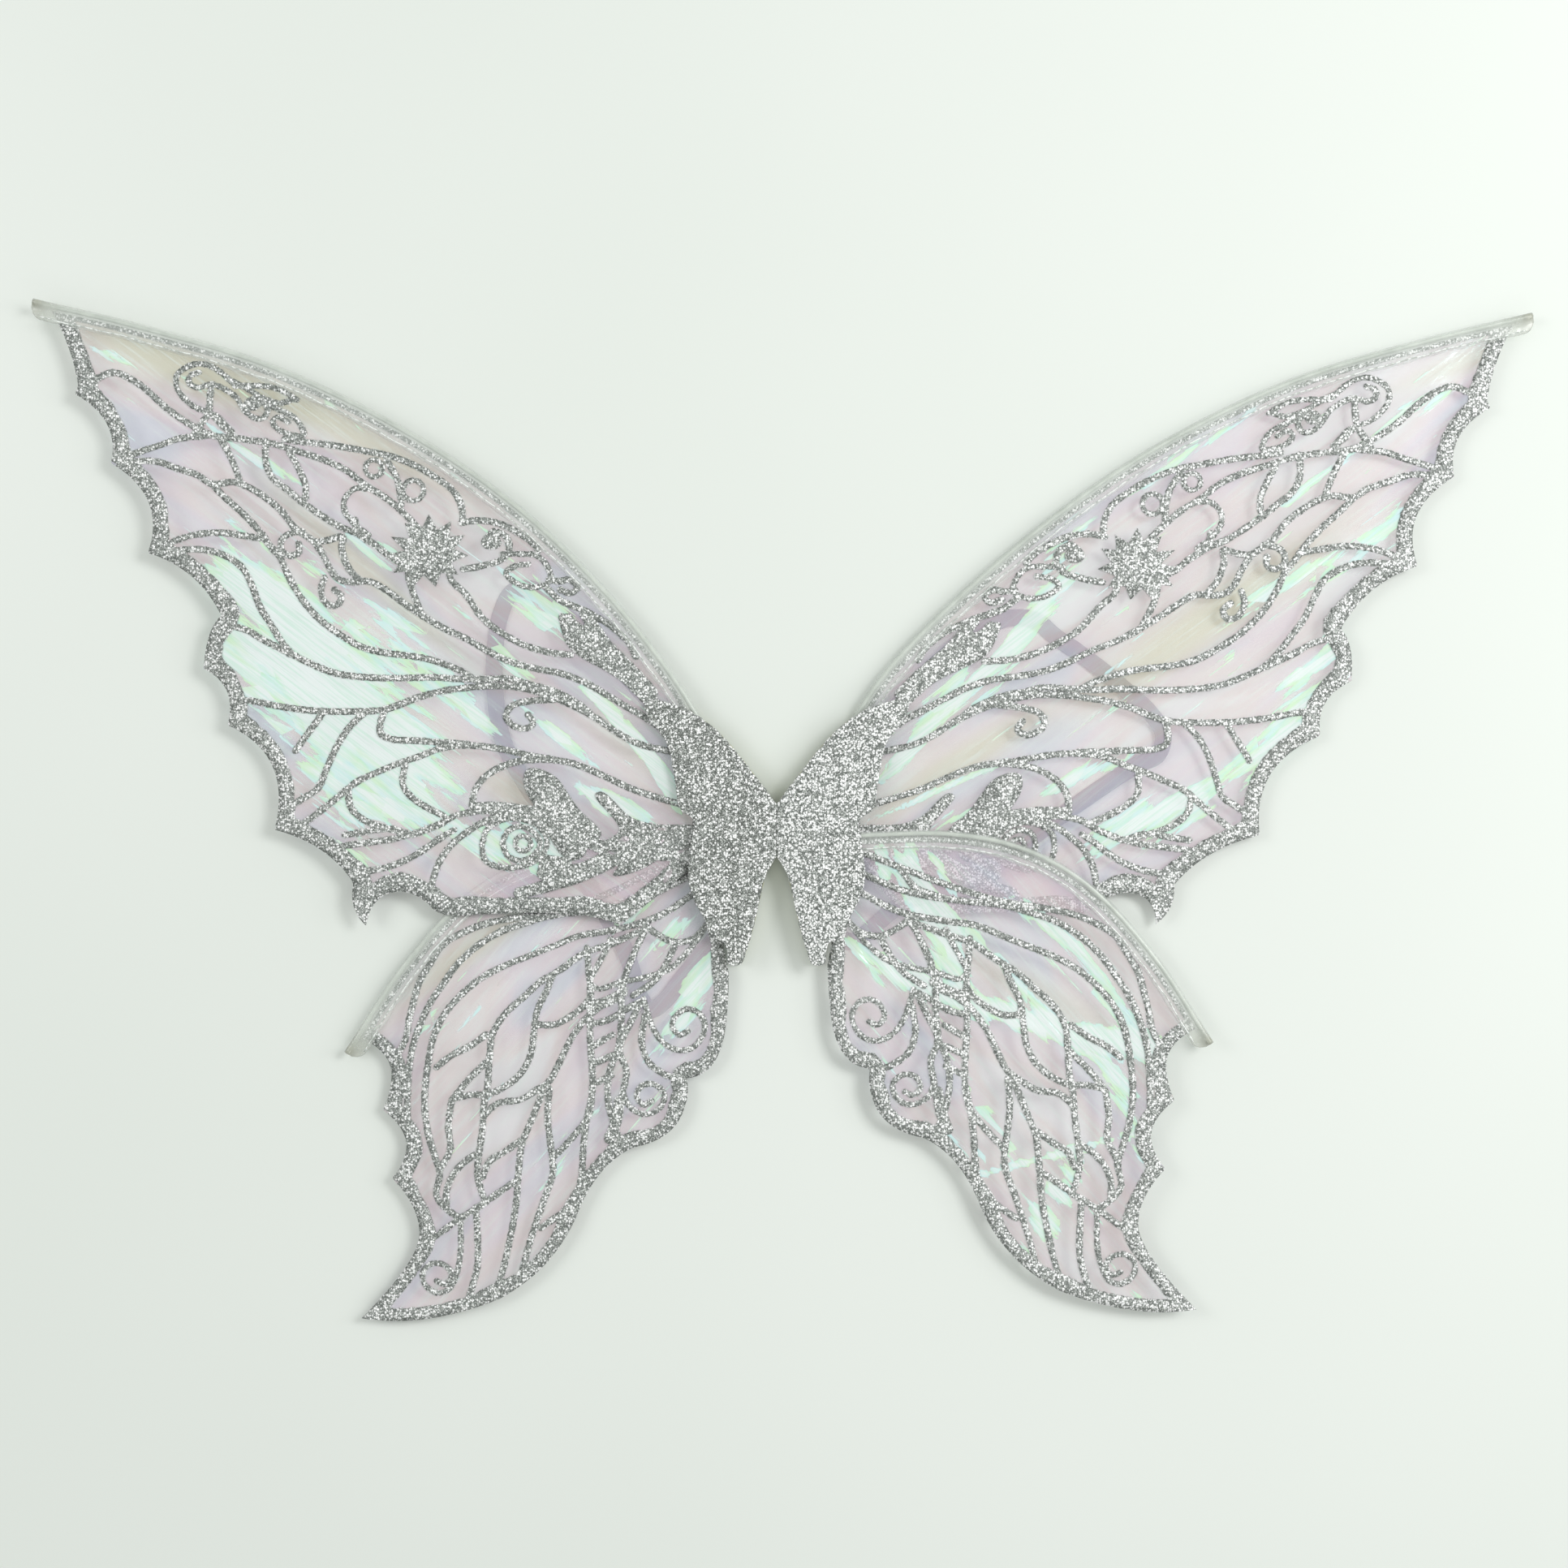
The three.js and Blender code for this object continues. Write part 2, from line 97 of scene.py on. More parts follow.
def smooth(points, spacing=2.0):
    """A centripetal Catmull-Rom curve: between two points, two quadratic blends through three
    points each are blended in turn, with knots the square root of the distances apart."""
    points = np.asarray(points, float)
    p = np.vstack([2 * points[0] - points[1], points, 2 * points[-1] - points[-2]])
    gap = np.linalg.norm(np.diff(p, axis=0), axis=1) ** 0.5
    p0, p1, p2, p3 = (p[k : len(p) - 3 + k, None, :] for k in range(4))
    t0 = 0.0
    t1 = gap[:-2, None, None]
    t2 = t1 + gap[1:-1, None, None]
    t3 = t2 + gap[2:, None, None]
    t = t1 + (t2 - t1) * np.linspace(0, 1, 24, endpoint=False)[None, :, None]
    a1 = (t1 - t) / (t1 - t0) * p0 + (t - t0) / (t1 - t0) * p1
    a2 = (t2 - t) / (t2 - t1) * p1 + (t - t1) / (t2 - t1) * p2
    a3 = (t3 - t) / (t3 - t2) * p2 + (t - t2) / (t3 - t2) * p3
    b1 = (t2 - t) / (t2 - t0) * a1 + (t - t0) / (t2 - t0) * a2
    b2 = (t3 - t) / (t3 - t1) * a2 + (t - t1) / (t3 - t1) * a3
    curve = (t2 - t) / (t2 - t1) * b1 + (t - t1) / (t2 - t1) * b2
    return evenly(np.vstack([curve.reshape(-1, points.shape[1]), points[-1:]]), spacing)


def length_of(path):
    """The sum of a path's steps."""
    return float(np.linalg.norm(np.diff(path, axis=0), axis=1).sum())


def part_of(path, start, end, spacing):
    """The stretch of a path between two distances along it."""
    run = np.concatenate([[0], np.cumsum(np.linalg.norm(np.diff(path, axis=0), axis=1))])
    at = np.linspace(start, end, max(int(round((end - start) / spacing)), 2) + 1)
    return np.stack([np.interp(at, run, path[:, k]) for k in range(path.shape[1])], axis=1)


def sideways(path):
    """Unit vectors to the left of a path in the XY plane: its tangent turned by a quarter."""
    along = np.gradient(path[:, :2], axis=0)
    along /= np.linalg.norm(along, axis=1)[:, None]
    return np.stack([-along[:, 1], along[:, 0]], axis=1)


def swept(path, height, profile, roll=0.0):
    """Vertices and faces of a closed profile carried along a path. The point at step i with
    profile (a, u) is path + left * (a cos r - u sin r) + up * (a sin r + u cos r), where r is
    the roll there. Profile is one list for all steps or one for each."""
    profile = np.broadcast_to(profile, (len(path), *np.shape(profile)[-2:]))
    roll = np.broadcast_to(roll, len(path))[:, None]
    across = profile[..., 0] * np.cos(roll) - profile[..., 1] * np.sin(roll)
    up = profile[..., 0] * np.sin(roll) + profile[..., 1] * np.cos(roll)
    left = sideways(path)[:, None, :]
    flat = path[:, None, :2] + left * across[..., None]
    rise = np.broadcast_to(height, len(path))[:, None] + up
    points = np.concatenate([flat, rise[..., None]], axis=2)
    steps, sides = points.shape[:2]
    i, j = np.meshgrid(np.arange(steps - 1), np.arange(sides), indexing="ij")
    a, b = i * sides + j, i * sides + (j + 1) % sides
    quads = np.stack([a, b, b + sides, a + sides], axis=-1).reshape(-1, 4)
    ends = [list(range(sides))[::-1], list(range((steps - 1) * sides, steps * sides))]
    return points.reshape(-1, 3), [*quads.tolist(), *ends]


print("a square's smoothed side:", round(length_of(smooth([[0, 0], [10, 0], [10, 10]])), 2))

# %% [markdown]
# ## Making a piece
#
# A shape that is swept or filled can come out inside in, so the faces of a closed piece are
# turned outwards before it is kept.

# %% Pieces
def new_piece(name, vertices, faces, body, slot, material, replaces=(), turn_out=True):
    """A smooth-shaded mesh object from points in millimetres, riding on a CAD body."""
    mesh = bpy.data.meshes.new(name)
    mesh.from_pydata((np.asarray(vertices, float) * MM).tolist(), [], [list(f) for f in faces])
    if turn_out:
        shape = bmesh.new()
        shape.from_mesh(mesh)
        bmesh.ops.recalc_face_normals(shape, faces=shape.faces)
        shape.to_mesh(mesh)
        shape.free()
    mesh.shade_smooth()
    mesh.materials.append(material)
    piece = bpy.data.objects.new(name, mesh)
    bpy.context.scene.collection.objects.link(piece)
    if body:
        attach(piece, body)
    if replaces:
        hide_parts(*replaces)
    return piece


def joined(shapes):
    """Several (vertices, faces) as one, with each one's face numbers moved past the last's."""
    starts = np.cumsum([0] + [len(v) for v, _ in shapes])
    faces = [[k + start for k in f] for (_, fs), start in zip(shapes, starts) for f in fs]
    return np.vstack([v for v, _ in shapes]), faces


print("CAD nodes to dress:", len(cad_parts))

# %% [markdown]
# ## Making a material
#
# Every material is a Principled shader with its steady values on its own sockets, and a few
# nodes for what changes over the surface. Most finishes here are the same recipe, two tones
# mixed by a noise and a bump from that noise, so small helpers hold its steps. The patterns
# read Object coordinates, which stay with the piece when it moves.

# %% Materials
def new_material(name, **sockets):
    """A material whose Principled shader has these values on its own sockets."""
    material = bpy.data.materials.new(name)
    material.use_nodes = True
    shader = material.node_tree.nodes["Principled BSDF"]
    for socket, value in sockets.items():
        shader.inputs[socket.replace("_", " ")].default_value = value
    return material, material.node_tree, shader


def node(tree, kind, inputs=None, **settings):
    """A shader node with its settings, and its inputs given as values or as sockets to join."""
    made = tree.nodes.new("ShaderNode" + kind)
    for key, value in settings.items():
        setattr(made, key, value)
    for key, value in (inputs or {}).items():
        if isinstance(value, bpy.types.NodeSocket):
            tree.links.new(value, made.inputs[key])
        else:
            made.inputs[key].default_value = value
    return made


def ramp(tree, factor, *stops):
    """A colour ramp over a factor, with its stops as (place, colour)."""
    made = node(tree, "ValToRGB", {"Fac": factor})
    bar = made.color_ramp.elements
    while len(bar) < len(stops):
        bar.new(1)
    for stop, (place, colour) in zip(bar, stops):
        stop.position, stop.color = place, (*colour, 1)
    return made.outputs["Color"]


def mixed(tree, factor, first, second):
    """A mix of two colours by a factor."""
    made = node(tree, "Mix", {0: factor, 6: first, 7: second}, data_type="RGBA")
    return made.outputs[2]


def ranged(tree, value, old, new=(0.0, 1.0)):
    """A value moved from one range into another and held inside it."""
    made = node(tree, "MapRange", {"Value": value, "From Min": old[0], "From Max": old[1]})
    made.inputs["To Min"].default_value, made.inputs["To Max"].default_value = new
    return made.outputs[0]


def grain_of(tree, scale, detail, **inputs):
    """A noise over the piece's own place, with its scale in repeats per metre."""
    inputs |= {"Vector": node(tree, "TexCoord").outputs["Object"], "Scale": scale, "Detail": detail}
    return node(tree, "TexNoise", inputs).outputs["Fac"]


def coloured(tree, shader, factor, *stops):
    """The shader's colour from a ramp over a factor."""
    tree.links.new(ramp(tree, factor, *stops), shader.inputs["Base Color"])


def maths(tree, operation, *values):
    """A sum or product of sockets and numbers."""
    return node(tree, "Math", dict(enumerate(values)), operation=operation).outputs[0]


def raised(tree, shader, height, strength, distance, **inputs):
    """A bump on the shader from a height from 0 to 1, with its full rise in metres."""
    inputs |= {"Strength": strength, "Distance": distance, "Height": height}
    bump = node(tree, "Bump", inputs)
    tree.links.new(bump.outputs["Normal"], shader.inputs["Normal"])


print("recipe: colour from a ramp, bump from the same noise")

# %% [markdown]
# ## Shoulder loops
#
# Each loop is 10 mm ribbed elastic, sewn at both ends to felt patches on the back of the hub,
# and it lies under the wings in the shape that it fell in. It is limp, so it isn't a stiff
# bar: it rolls a little from side to side and lifts off the table between its ends. Its
# profile is a flat band with twenty lengthwise ribs, and the weave is in the material.

# %% Elastic
STRAP_WIDTH, STRAP_THICK, STRAP_MIDDLE = 10.0, 1.0, -1.9
STRAP_SPACING = 1.5
STRAP_ROUTES = {
    "left": line(
        "-58,46 -80,70 -105,98 -130,120 -143,130 -155,129 -162,116 -165.5,95 -165.5,70 -161,42"
        " -149,18 -134,-5 -120,-27 -108,-47 -99,-64 -90,-80 -84,-97 -80,-110 -74,-117 -66,-112"
        " -58,-102 -48,-89 -38,-77 -30,-64"
    ),
    "right": line(
        "58,46 78,70 98,90 118,105 136,113 152,112 163,103 176,94 192,82 206,70 219,58 227,45"
        " 224,33 212,27 196,17 180,6 163,-6 146,-19 129,-32 112,-41 95,-46 78,-52 65,-61 54,-71"
        " 44,-77 35,-72 30,-62"
    ),
}
elastic, tree, shader = new_material("ribbed_elastic", Roughness=0.62, Sheen_Weight=0.35)
where = node(tree, "UVMap", uv_map="UVMap").outputs["UV"]
knit = {"Vector": where, "Scale": 1.1, "Distortion": 0.6}
knit = node(tree, "TexWave", knit, bands_direction="X")
cords = node(tree, "TexWave", {"Vector": where, "Scale": 3.0}, bands_direction="Y")
weave = maths(tree, "ADD", knit.outputs["Fac"], cords.outputs["Fac"])
wear = node(tree, "TexNoise", {"Vector": where, "Scale": 0.12, "Detail": 3.0})
cloth = ramp(tree, cords.outputs["Fac"], (0.0, (0.13, 0.165, 0.20)), (1.0, (0.29, 0.34, 0.39)))
worn = mixed(tree, wear.outputs["Fac"], cloth, (0.25, 0.29, 0.34, 1))
tree.links.new(worn, shader.inputs["Base Color"])
raised(tree, shader, weave, 0.5, 0.0003)
print("elastic:", len(tree.nodes), "shader nodes")

# %% The two loops
STRAP_RIBS, GROOVE_DEPTH = 20, 0.12
STRAP_ROLL, STRAP_LIFT, STRAP_WAVE = 5, 0.5, 0.35


def strap_profile():
    """Across the band and back, with a from -1 to 1: half the thickness times the
    eighth-power rounding (1 - a^8)^0.5, less a share of it in grooves that follow the square
    of a cosine of a."""
    across = np.linspace(-1, 1, 61)
    half = STRAP_THICK / 2 * np.sqrt(1 - np.abs(across) ** 8)
    half *= 1 - GROOVE_DEPTH * np.cos(np.pi * STRAP_RIBS / 2 * across) ** 2
    top = np.stack([across * STRAP_WIDTH / 2, half], axis=1)
    return np.vstack([top, (top * [1, -1])[::-1][1:-1]])


def strap_uv(mesh, sides):
    """The distance along the band in u and the distance across it in v, in millimetres."""
    index = np.zeros(len(mesh.loops), int)
    mesh.loops.foreach_get("vertex_index", index)
    layer = mesh.uv_layers.new(name="UVMap")
    across = np.abs(np.linspace(-1, 1, sides, endpoint=False)) * STRAP_WIDTH
    uv = np.stack([index // sides * STRAP_SPACING, across[index % sides]], axis=1)
    layer.data.foreach_set("uv", uv.ravel())


for side, route in STRAP_ROUTES.items():
    path = smooth(route, STRAP_SPACING)
    share = np.linspace(0, 1, len(path))
    free = np.sin(np.pi * share) ** 0.6
    roll = np.radians(STRAP_ROLL) * np.sin(share * 23 + 1) * free
    lift = STRAP_MIDDLE + free * (STRAP_LIFT + STRAP_WAVE * np.sin(share * 17))
    vertices, faces = swept(path, lift, strap_profile(), roll)
    loop = new_piece(
        f"{side}_elastic_loop", vertices, faces, f"{side}_half", "strap_elastic", elastic,
        [f"{side}_shoulder_strap"],
    )
    strap_uv(loop.data, len(strap_profile()))
    middle = np.column_stack([path, lift]) * MM
    print(side, "loop:", round(length_of(path)), "mm of elastic")

# %% [markdown]
# ## Flat shapes
#
# The film, the glitter and the foam are all flat shapes with an odd outline. A constrained
# Delaunay triangulation fills an outline with even triangles: it gets the outline's points and
# a triangular grid of points inside it. Each point then gets its height from a function of x
# and y, computed for all of them at once. Overlapping strips go through the same call, which
# cuts them where they cross, so a whole lattice comes out as one sheet.

# %% Outlines and fills
def inside(points, outline):
    """True where a ray to +X from a point crosses the outline an odd number of times."""
    x, y = points[:, 0, None], points[:, 1, None]
    (ax, ay), (bx, by) = outline.T, np.roll(outline, -1, axis=0).T
    straddles = (ay > y) != (by > y)
    with np.errstate(divide="ignore", invalid="ignore"):
        crossing = ax + (y - ay) / (by - ay) * (bx - ax)
    return (np.sum(straddles & (x < crossing), axis=1) % 2).astype(bool)


def distance_to(points, path):
    """The distance from each point to the nearest of a path's points."""
    nearest = np.full(len(points), np.inf)
    for start in range(0, len(path), 64):
        gap = points[:, None, :2] - path[None, start : start + 64, :2]
        nearest = np.minimum(nearest, np.sqrt((gap**2).sum(axis=2)).min(axis=1))
    return nearest


def grid_in(outline, spacing):
    """Points of a triangular grid inside an outline, none of them close to it."""
    low, high = outline.min(axis=0), outline.max(axis=0)
    rows = np.arange(low[1], high[1], spacing * 0.866)
    columns = np.arange(low[0], high[0], spacing)
    x, y = np.meshgrid(columns, rows)
    x = x + (np.arange(len(rows)) % 2 * spacing / 2)[:, None]
    points = np.stack([x.ravel(), y.ravel()], axis=1)
    points = points[inside(points, outline)]
    return points[distance_to(points, evenly(closed(outline), spacing / 2)) > spacing * 0.55]


def closed(outline):
    """An outline with its first point again at its end."""
    return np.vstack([outline, outline[:1]])


test_square = line("0,0 10,0 10,10 0,10")
print("grid points in a 10 mm square:", len(grid_in(test_square, 2)))

# %% Fills and strips
def filled(outline, spacing):
    """The triangles that fill an outline: its vertices in XY, and the faces between them."""
    loop = list(range(len(outline)))
    points = np.vstack([counterclockwise(outline), grid_in(outline, spacing)])
    vertices, _, faces, *_ = delaunay_2d_cdt(points.tolist(), [], [loop], 1, 1e-5)
    return np.array([tuple(v) for v in vertices]), faces


def facing_up(vertices, faces):
    """Triangles all turned counter-clockwise, without the ones that have no area: twice a
    triangle's area is the cross product of two of its sides, below 0 if it is clockwise."""
    faces = np.asarray(faces)
    a, b, c = (vertices[faces[:, k]] for k in range(3))
    twice = (b[:, 0] - a[:, 0]) * (c[:, 1] - a[:, 1]) - (b[:, 1] - a[:, 1]) * (c[:, 0] - a[:, 0])
    faces = np.where(twice[:, None] < 0, faces[:, ::-1], faces)
    return faces[np.abs(twice) > 1e-4].tolist()


def counterclockwise(outline):
    """An outline in the order that goes round it counter-clockwise."""
    x, y = outline.T
    turned = np.dot(x, np.roll(y, -1)) - np.dot(y, np.roll(x, -1)) > 0
    return outline if turned else outline[::-1]


def united(shapes, within=None):
    """The union of overlapping flat faces: the triangles that lie in any of them, and in the
    outline too where one is given. Points that no kept triangle uses are dropped."""
    shapes = list(shapes)
    if within is not None:
        shapes.append((counterclockwise(within), [list(range(len(within)))]))
    vertices, faces = joined(shapes)
    points, _, cut, _, _, owners = delaunay_2d_cdt(vertices.tolist(), [], faces, 1, 1e-4)
    last = len(faces) - 1
    kept = [f for f, o in zip(cut, owners) if o and (within is None or (last in o and len(o) > 1))]
    used, numbers = np.unique(np.array(kept), return_inverse=True)
    return np.array([tuple(v) for v in points])[used], numbers.reshape(-1, 3).tolist()


def strip(path, half_width):
    """A flat strip of triangles with its middle on a path and a round cap at each end."""
    half = np.broadcast_to(half_width, len(path))[:, None]
    left = sideways(path) * half
    vertices = np.vstack([path[:, :2] + left, path[:, :2] - left])
    n = len(path)
    i = np.arange(n - 1)[:, None]
    faces = np.vstack([i + [0, n, 1], i + [1, n, n + 1]])
    turn = np.linspace(0, 2 * np.pi, 10, endpoint=False)
    disc = np.stack([np.cos(turn), np.sin(turn)], axis=1)
    caps = [(path[k, :2] + disc * half[k], [list(range(10))]) for k in (0, -1)]
    return joined([(vertices, facing_up(vertices, faces)), *caps])


test_vertices, test_faces = united([strip(line("0,0 5,0 10,0"), 1), strip(line("5,-5 5,5"), 1)])
print("two crossed strips:", len(test_vertices), "points,", len(test_faces), "triangles")

# %% [markdown]
# ## The wings' outlines
#
# Both wings of a side are drawn once, for the left, as the CAD draws them: the rib's line, the
# scallops of the open edge as control point and end point of quadratic curves, and the root
# inside the hub. The right side is the mirror image, slid a few millimetres as soft wings lie.

# %% Outlines
SIDES, LEVELS = ("left", "right"), ("upper", "lower")
WINGS = [(level, side) for level in LEVELS for side in SIDES]
RIB_MIDDLE = {
    ("upper", "left"): 7.4, ("lower", "left"): 4.2,
    ("upper", "right"): 4.2, ("lower", "right"): 7.4,
}
RIBS = {
    "upper": line(
        "-30,27 -42,47.3 -62,79.3 -101.6,128.9 -151.5,176.8 -211.2,218 -290.8,257.4"
        " -370.6,281.8 -434,296.8"
    ),
    "lower": line("-26,-16 -60,-14.5 -100,-18.2 -140,-27.6 -178,-48.5 -218,-91.4 -251,-142"),
}
SCALLOPS = {
    "upper": line(
        "-412,272 -408,250 -407,247 -410,243.5 -383,229 -388.5,203 -355,183 -367,150.5"
        " -338,142 -324,114 -333,106 -334.5,83 -314,73 -320.5,50 -282,33 -293,-11"
        " -262,-19 -247,-42 -250,-58 -239.5,-67 -237,-48 -220,-47 -208,-48 -200,-58"
        " -195,-62 -180,-61 -140,-58 -112,-61 -96,-64 -91,-67 -78,-56 -50,-34"
    ),
    "lower": line(
        "-224,-142 -225.5,-157 -226,-166 -230.5,-175 -217,-185 -216.5,-196 -217,-206 -225,-215"
        " -208,-232 -209,-249 -211,-265 -243,-297 -205,-303 -163,-286 -132,-270 -117.7,-238.7"
        " -106,-207 -84,-197 -58,-192 -53.5,-172 -51,-166 -52.5,-156.5 -31,-155 -29,-118"
        " -28,-106 -28,-95"
    ),
}
ROOTS = {
    "upper": line("-44,-30 -42.5,-5 -44,18"),
    "lower": line("-31,-80 -36,-62 -41,-45 -42,-24"),
}
FILM_START, FILM_END, FILM_INSET = 22, 12, 2.45
LEAD_SPACING, EDGE_SPACING, ROOT_SPACING = 4, 2.2, 3


def ease(value, low, high):
    """0 below low, 1 above high, and 3s^2 - 2s^3 in between."""
    share = np.clip((value - low) / (high - low), 0, 1)
    return share * share * (3 - 2 * share)


def settled(points, level, side):
    """Where points drawn for the left side lie: the same, or mirrored and slid by a share that
    grows from 0 to 1 with the distance from the rib's pivot."""
    points = np.asarray(points, float)
    if side == "left":
        return points.copy()
    reach = np.linalg.norm(points[:, :2] - RIBS[level][0], axis=1)
    x, y = points[:, 0], points[:, 1]
    if level == "lower":
        share = ease(reach, 20, 100)
        return np.stack([-x + 2 * share, y + 6 * share], axis=1)
    share = ease(reach, 20, 200)
    low = np.clip((130 - y) / 200, 0, 1)
    return np.stack([-x + share * (8 - 26 * low), y + share * (8.5 * low**2 - 7.5)], axis=1)


def rib_line(level, side):
    """The middle of a rib, from its pivot to the sleeve's far end."""
    return smooth(settled(RIBS[level], level, side), 1.0)


def toward_film(path, side, distance):
    """A path moved sideways from the rib towards its film."""
    return path[:, :2] + sideways(path) * (distance if side == "left" else -distance)


def outline_parts(level, side):
    """The leading edge, the open edge and the root of a wing, as three paths. A scallop from
    a through control point b to c is (1 - t)^2 a + 2t(1 - t) b + t^2 c."""
    rib = rib_line(level, side)
    lead = part_of(rib, FILM_START, length_of(rib) - FILM_END, LEAD_SPACING)
    lead = toward_film(lead, side, FILM_INSET)
    pairs = settled(SCALLOPS[level], level, side).reshape(-1, 2, 2)
    starts = np.vstack([lead[-1:], pairs[:-1, 1]])
    t = np.linspace(0, 1, 12, endpoint=False)[None, :, None]
    a, b, c = starts[:, None], pairs[:, None, 0], pairs[:, None, 1]
    curves = (1 - t) ** 2 * a + 2 * t * (1 - t) * b + t**2 * c
    edge = evenly(np.vstack([curves.reshape(-1, 2), pairs[-1:, 1]]), EDGE_SPACING)
    return lead, edge, evenly(settled(ROOTS[level], level, side), ROOT_SPACING)


def outline_of(level, side):
    """A wing's whole outline, from the root of its leading edge round to its root."""
    lead, edge, root = outline_parts(level, side)
    return np.vstack([lead, edge[1:], root])


def turned_area(outline):
    """The area inside an outline: half the sum of x1 y2 - x2 y1."""
    x, y = outline.T
    return abs(np.dot(x, np.roll(y, -1)) - np.dot(y, np.roll(x, -1))) / 2


for level in LEVELS:
    print(level, "film:", round(turned_area(outline_of(level, "left")) / 100), "cm2")

# %% [markdown]
# ## How the film lies
#
# The film is drawn tight along the sleeve and is free elsewhere, so it is never quite flat. It
# fans out from the hub in shallow pleats and has long ripples across its length. The height is
# a function of x and y: pleats that fade with the distance from the hub, ripples across the
# wing's run that are bent a little by slower waves, and all of it held down near the rib. A
# fold pressed in by storage is a low ridge along a straight line.

# %% The film's surface
RUN = {
    ("upper", "left"): 143, ("upper", "right"): 37,
    ("lower", "left"): 228, ("lower", "right"): -48,
}
STORAGE_FOLDS = {
    ("lower", "right"): [
        (line("40,-84 110,-117 215,-142"), 1.0),
        (line("62,-150 130,-160 205,-172"), 0.45),
        (line("95,-196 160,-186 215,-215"), 0.6), (line("75,-176 110,-178 150,-172"), 0.35),
    ],
    ("upper", "right"): [
        (line("330,160 372,140 392,150"), 0.4), (line("50,4 100,30 170,52"), 0.7),
    ],
    ("upper", "left"): [
        (line("-60,18 -90,42 -140,76"), 0.5), (line("-90,95 -150,150 -190,180"), 0.4),
    ],
    ("lower", "left"): [(line("-40,-84 -75,-62 -120,-70"), 0.5)],
}


def along_and_across(points, level, side):
    """Distances along the wing's run and across it: dot products with its two directions."""
    angle = np.radians(RUN[level, side])
    run = np.array([np.cos(angle), np.sin(angle)])
    return points[:, :2] @ run, points[:, :2] @ np.array([-run[1], run[0]])


PLEAT, PLEATS, PLEAT_REACH = 0.55, 24, 80
RIPPLE, RIPPLE_LENGTH, SWELL, SWELL_LENGTH = 0.32, 5.6, 0.4, 17
FOLD_WIDTH, HELD, LOOSE = 3.2, 8, 30


def film_rise(points, level, side):
    """How far the film rises, in millimetres: the sum of pleats, a sine of the angle round the
    root that dies as e^(-reach/80), ripples and swells, sines of the distance across the run
    bent by slower ones, and folds, e^(-distance/3.2) from their lines. All of it grows from
    nothing at 8 mm from the rib to the whole at 30 mm."""
    along, across = along_and_across(points, level, side)
    root = settled(ROOTS[level], level, side).mean(axis=0)
    away = points[:, :2] - root
    reach = np.linalg.norm(away, axis=1)
    angle = np.arctan2(away[:, 1], np.abs(away[:, 0]))
    pleats = PLEAT * np.exp(-reach / PLEAT_REACH) * np.sin(PLEATS * angle + 0.02 * reach)
    bend = 6 * np.sin(along / 47 + across / 90) + 3 * np.sin(along / 21)
    ripples = RIPPLE * np.sin((across + bend) / RIPPLE_LENGTH)
    ripples = ripples * (0.6 + 0.4 * np.sin(along / 61 + 1))
    swells = SWELL * np.sin((across - bend) / SWELL_LENGTH + 2)
    held = ease(distance_to(points, rib_line(level, side)), HELD, LOOSE)
    folds = sum(
        size * np.exp(-distance_to(points, smooth(fold, 1)) / FOLD_WIDTH)
        for fold, size in STORAGE_FOLDS[level, side]
    )
    return held * (pleats + ripples + swells + folds)


film_heights = film_rise(outline_of("upper", "left"), "upper", "left")
print("the film's edge rises and falls by", np.round([film_heights.min(), film_heights.max()], 2))
